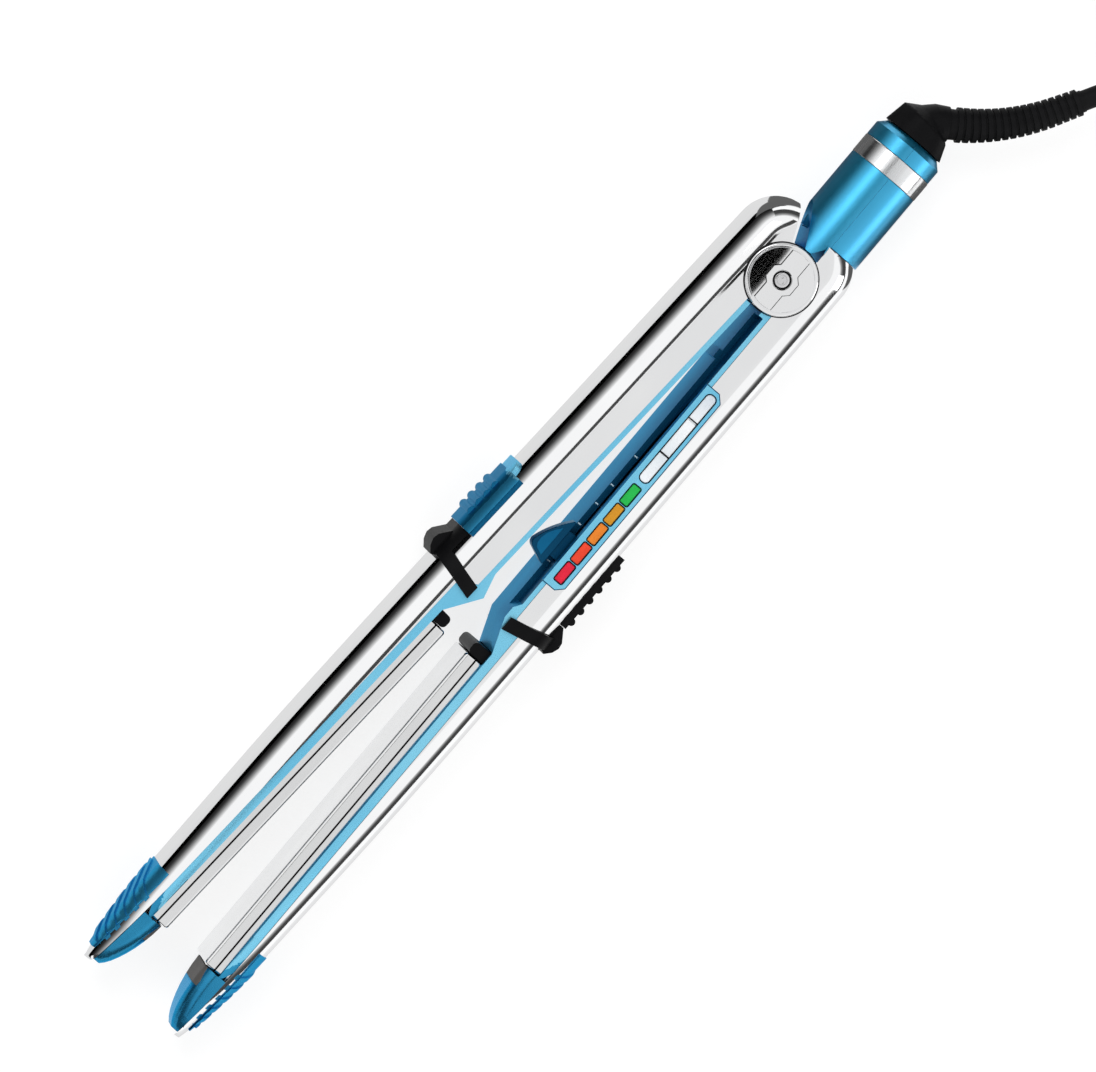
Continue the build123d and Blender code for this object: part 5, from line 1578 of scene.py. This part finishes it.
@dataclass
class Studio:
    """White table, soft lamps, reflection cards and the camera."""

    turn_degrees: float = 48.3
    tilt_degrees: float = 10.0
    lean_degrees: float = 1.6
    look_along: float = 107.7
    look_across: float = -1.4
    look_height: float = 35.8
    frame_width: float = 340.4
    distance: float = 3.2

    def camera(self) -> None:
        """Set the camera above the tool, looking down the hinge axis and a little aslant."""
        lean, tilt = math.radians(self.lean_degrees), math.radians(self.tilt_degrees)
        turn = math.radians(self.turn_degrees)
        along = Vector((math.cos(lean), -math.sin(lean), 0.0))
        across = Vector((math.sin(lean), math.cos(lean), 0.0))
        down_across = across * math.cos(tilt) + UP * math.sin(tilt)
        right = -math.cos(turn) * along + math.sin(turn) * down_across
        up = -math.sin(turn) * along - math.cos(turn) * down_across
        back = UP * math.cos(tilt) - across * math.sin(tilt)
        target = (
            Vector((0.0, 0.0, self.look_height)) + along * self.look_along + down_across * self.look_across
        )
        lens = bpy.data.cameras.new("camera")
        lens.sensor_width = 36.0
        lens.lens = lens.sensor_width * self.distance / (self.frame_width * MM)
        lens.clip_start, lens.clip_end = 0.1, 60.0
        camera = show("camera", lens)
        turned = Matrix((right, up, back)).transposed().to_4x4()
        camera.matrix_world = Matrix.Translation(target * MM + back * self.distance) @ turned
        bpy.context.scene.camera = camera

    def glow(self, tree: bpy.types.NodeTree, socket: Socket, lit: float, seen: float) -> None:
        """Set a strength for camera, mirror and glass rays and another for the light on things."""
        path = tree.nodes.new("ShaderNodeLightPath")
        value = path.outputs["Is Camera Ray"]
        for ray in ("Is Glossy Ray", "Is Transmission Ray"):
            either = tree.nodes.new("ShaderNodeMath")
            either.operation = "MAXIMUM"
            tree.links.new(value, either.inputs[0])
            tree.links.new(path.outputs[ray], either.inputs[1])
            value = either.outputs[0]
        level = tree.nodes.new("ShaderNodeMapRange")
        level.inputs["To Min"].default_value = lit
        level.inputs["To Max"].default_value = seen
        tree.links.new(value, level.inputs["Value"])
        tree.links.new(level.outputs["Result"], socket)

    def world(self) -> None:
        """White surroundings, dimmer where they only light things."""
        world = bpy.data.worlds.new("white_room")
        world.use_nodes = True
        tree = world.node_tree
        background = tree.nodes["Background"]
        background.inputs["Color"].default_value = (1.0, 1.0, 1.0, 1.0)
        self.glow(tree, background.inputs["Strength"], 0.55, 1.0)
        bpy.context.scene.world = world

    def floor(self) -> None:
        """A white table that shows white and still takes a faint shadow."""
        size = 6000.0
        form = Form()
        bmesh.ops.create_grid(form.bm, x_segments=1, y_segments=1, size=size)
        floor = show("floor", form.mesh("floor"))
        floor.location.z = -0.0002
        board = NodeBoard("white_table")
        board.set(
            Base_Color=(0.24, 0.24, 0.24),
            Roughness=1.0,
            Specular_IOR_Level=0.0,
            Emission_Color=(1.0, 1.0, 1.0),
        )
        self.glow(board.tree, board.shader.inputs["Emission Strength"], 0.35, 0.80)
        floor.data.materials.append(board.material)

    def cards(self) -> None:
        """Dark and grey cards round the tool, which draw the long bands on the steel."""
        plans = (
            Card(
                "grey_wall_beside_upper",
                ((-90, -115, 0.5), (420, -143, 0.5), (420, -143, 92), (-90, -115, 92)),
                ((0.0, 0.01), (0.25, 0.03), (0.42, 0.10), (0.62, 0.30), (0.82, 0.62), (1.0, 0.97)),
                "Z",
                0.5,
                92.0,
            ),
            Card(
                "dark_strip_beside_upper",
                ((-90, -48, 0.4), (420, -76, 0.4), (420, -144, 0.4), (-90, -116, 0.4)),
            ),
            Card(
                "pale_strip_beside_upper",
                ((-90, -10, 0.3), (420, -38, 0.3), (420, -76, 0.3), (-90, -48, 0.3)),
                ((0.0, 0.76),),
            ),
            Card(
                "pale_strip_beside_lower",
                ((-90, 10, 0.3), (420, 10, 0.3), (420, 90, 0.3), (-90, 90, 0.3)),
                ((0.0, 0.72), (1.0, 0.92)),
                "Y",
                10.0,
                90.0,
            ),
            Card(
                "glow_over_barrel",
                ((-78, -64, 149), (-14, -64, 149), (-14, -128, 149), (-78, -128, 149)),
                ((0.0, 3.0),),
            ),
            Card(
                "glow_beside_barrel",
                ((-78, 150, 46), (-14, 150, 46), (-14, 150, 118), (-78, 150, 118)),
                ((0.0, 3.0),),
            ),
            Card(
                "dark_strip_beside_barrel_upper",
                ((-76, -100, 0.6), (-20, -100, 0.6), (-20, -5, 0.6), (-76, -5, 0.6)),
                ((0.0, 0.12),),
            ),
            Card(
                "dark_strip_beside_barrel_lower",
                ((-76, 17, 0.6), (-20, 17, 0.6), (-20, 100, 0.6), (-76, 100, 0.6)),
                ((0.0, 0.10),),
            ),
            Card(
                "line_above",
                ((-1200, -290, 1000), (1700, -290, 1000), (1700, -96, 1000), (-1200, -96, 1000)),
                ((0.0, 0.06),),
            ),
            Card(
                "pale_card_above",
                ((-1200, -60, 1000), (1700, -60, 1000), (1700, 600, 1000), (-1200, 600, 1000)),
                ((0.0, 0.80), (0.9, 0.83), (1.0, 1.0)),
                "Y",
                -60.0,
                600.0,
            ),
            Card("small_card_above_hinge", ((-22, -22, 250), (8, -22, 250), (8, 16, 250), (-22, 16, 250))),
        )
        for plan in plans:
            plan.stand_flat()
        self.ring_card()

    def ring_card(self) -> None:
        """A round wall beyond the table, dark at its foot, which darkens upright faces."""
        foot, top_level = 20.0, 400.0
        plan = Card(
            "round_wall", (), ((0.0, 0.05), (0.48, 0.06), (0.75, 0.32), (1.0, 1.0)), "Z", foot, top_level
        )
        form = Form()
        ring = bmesh.ops.create_circle(form.bm, radius=750.0, segments=96)["verts"]
        bmesh.ops.translate(form.bm, vec=(110.0, 0.0, foot), verts=ring)
        grown = bmesh.ops.extrude_edge_only(form.bm, edges=form.bm.edges[:])["geom"]
        top = [item for item in grown if isinstance(item, Vert)]
        bmesh.ops.translate(form.bm, vec=(0.0, 0.0, top_level - foot), verts=top)
        plan.stand(form)

    def lamps(self) -> None:
        """Two large soft lamps, one to each side above the tool."""
        for name, place, size, power in (
            ("key", (-600.0, -900.0, 1500.0), 1.2, 20.0),
            ("fill", (900.0, 700.0, 1600.0), 1.4, 10.0),
        ):
            light = bpy.data.lights.new(name, "AREA")
            light.shape = "SQUARE"
            light.size = size
            light.energy = power
            lamp = show(name, light)
            lamp.location = Vector(place) * MM
            aim = Vector((110.0, 0.0, 20.0)) * MM - lamp.location
            lamp.rotation_euler = aim.to_track_quat("-Z", "Y").to_euler()
            lamp.visible_camera = False
            lamp.visible_glossy = False

    def build(self) -> None:
        """Set up the whole studio."""
        self.world()
        self.floor()
        self.cards()
        self.lamps()
        self.camera()
        bpy.context.scene.view_settings.view_transform = "Standard"


def main() -> None:
    """Build the tool on its frame and set up the studio."""
    logging.basicConfig(level=logging.INFO, format="%(message)s")
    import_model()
    bench = Bench()
    Cord(bench).build()
    for side in Side:
        Arm(bench, side).build()
    Hinge(bench).build()
    LightStrip(bench).build()
    Barrel(bench).build()
    Studio().build()


if __name__ == "__main__":
    main()
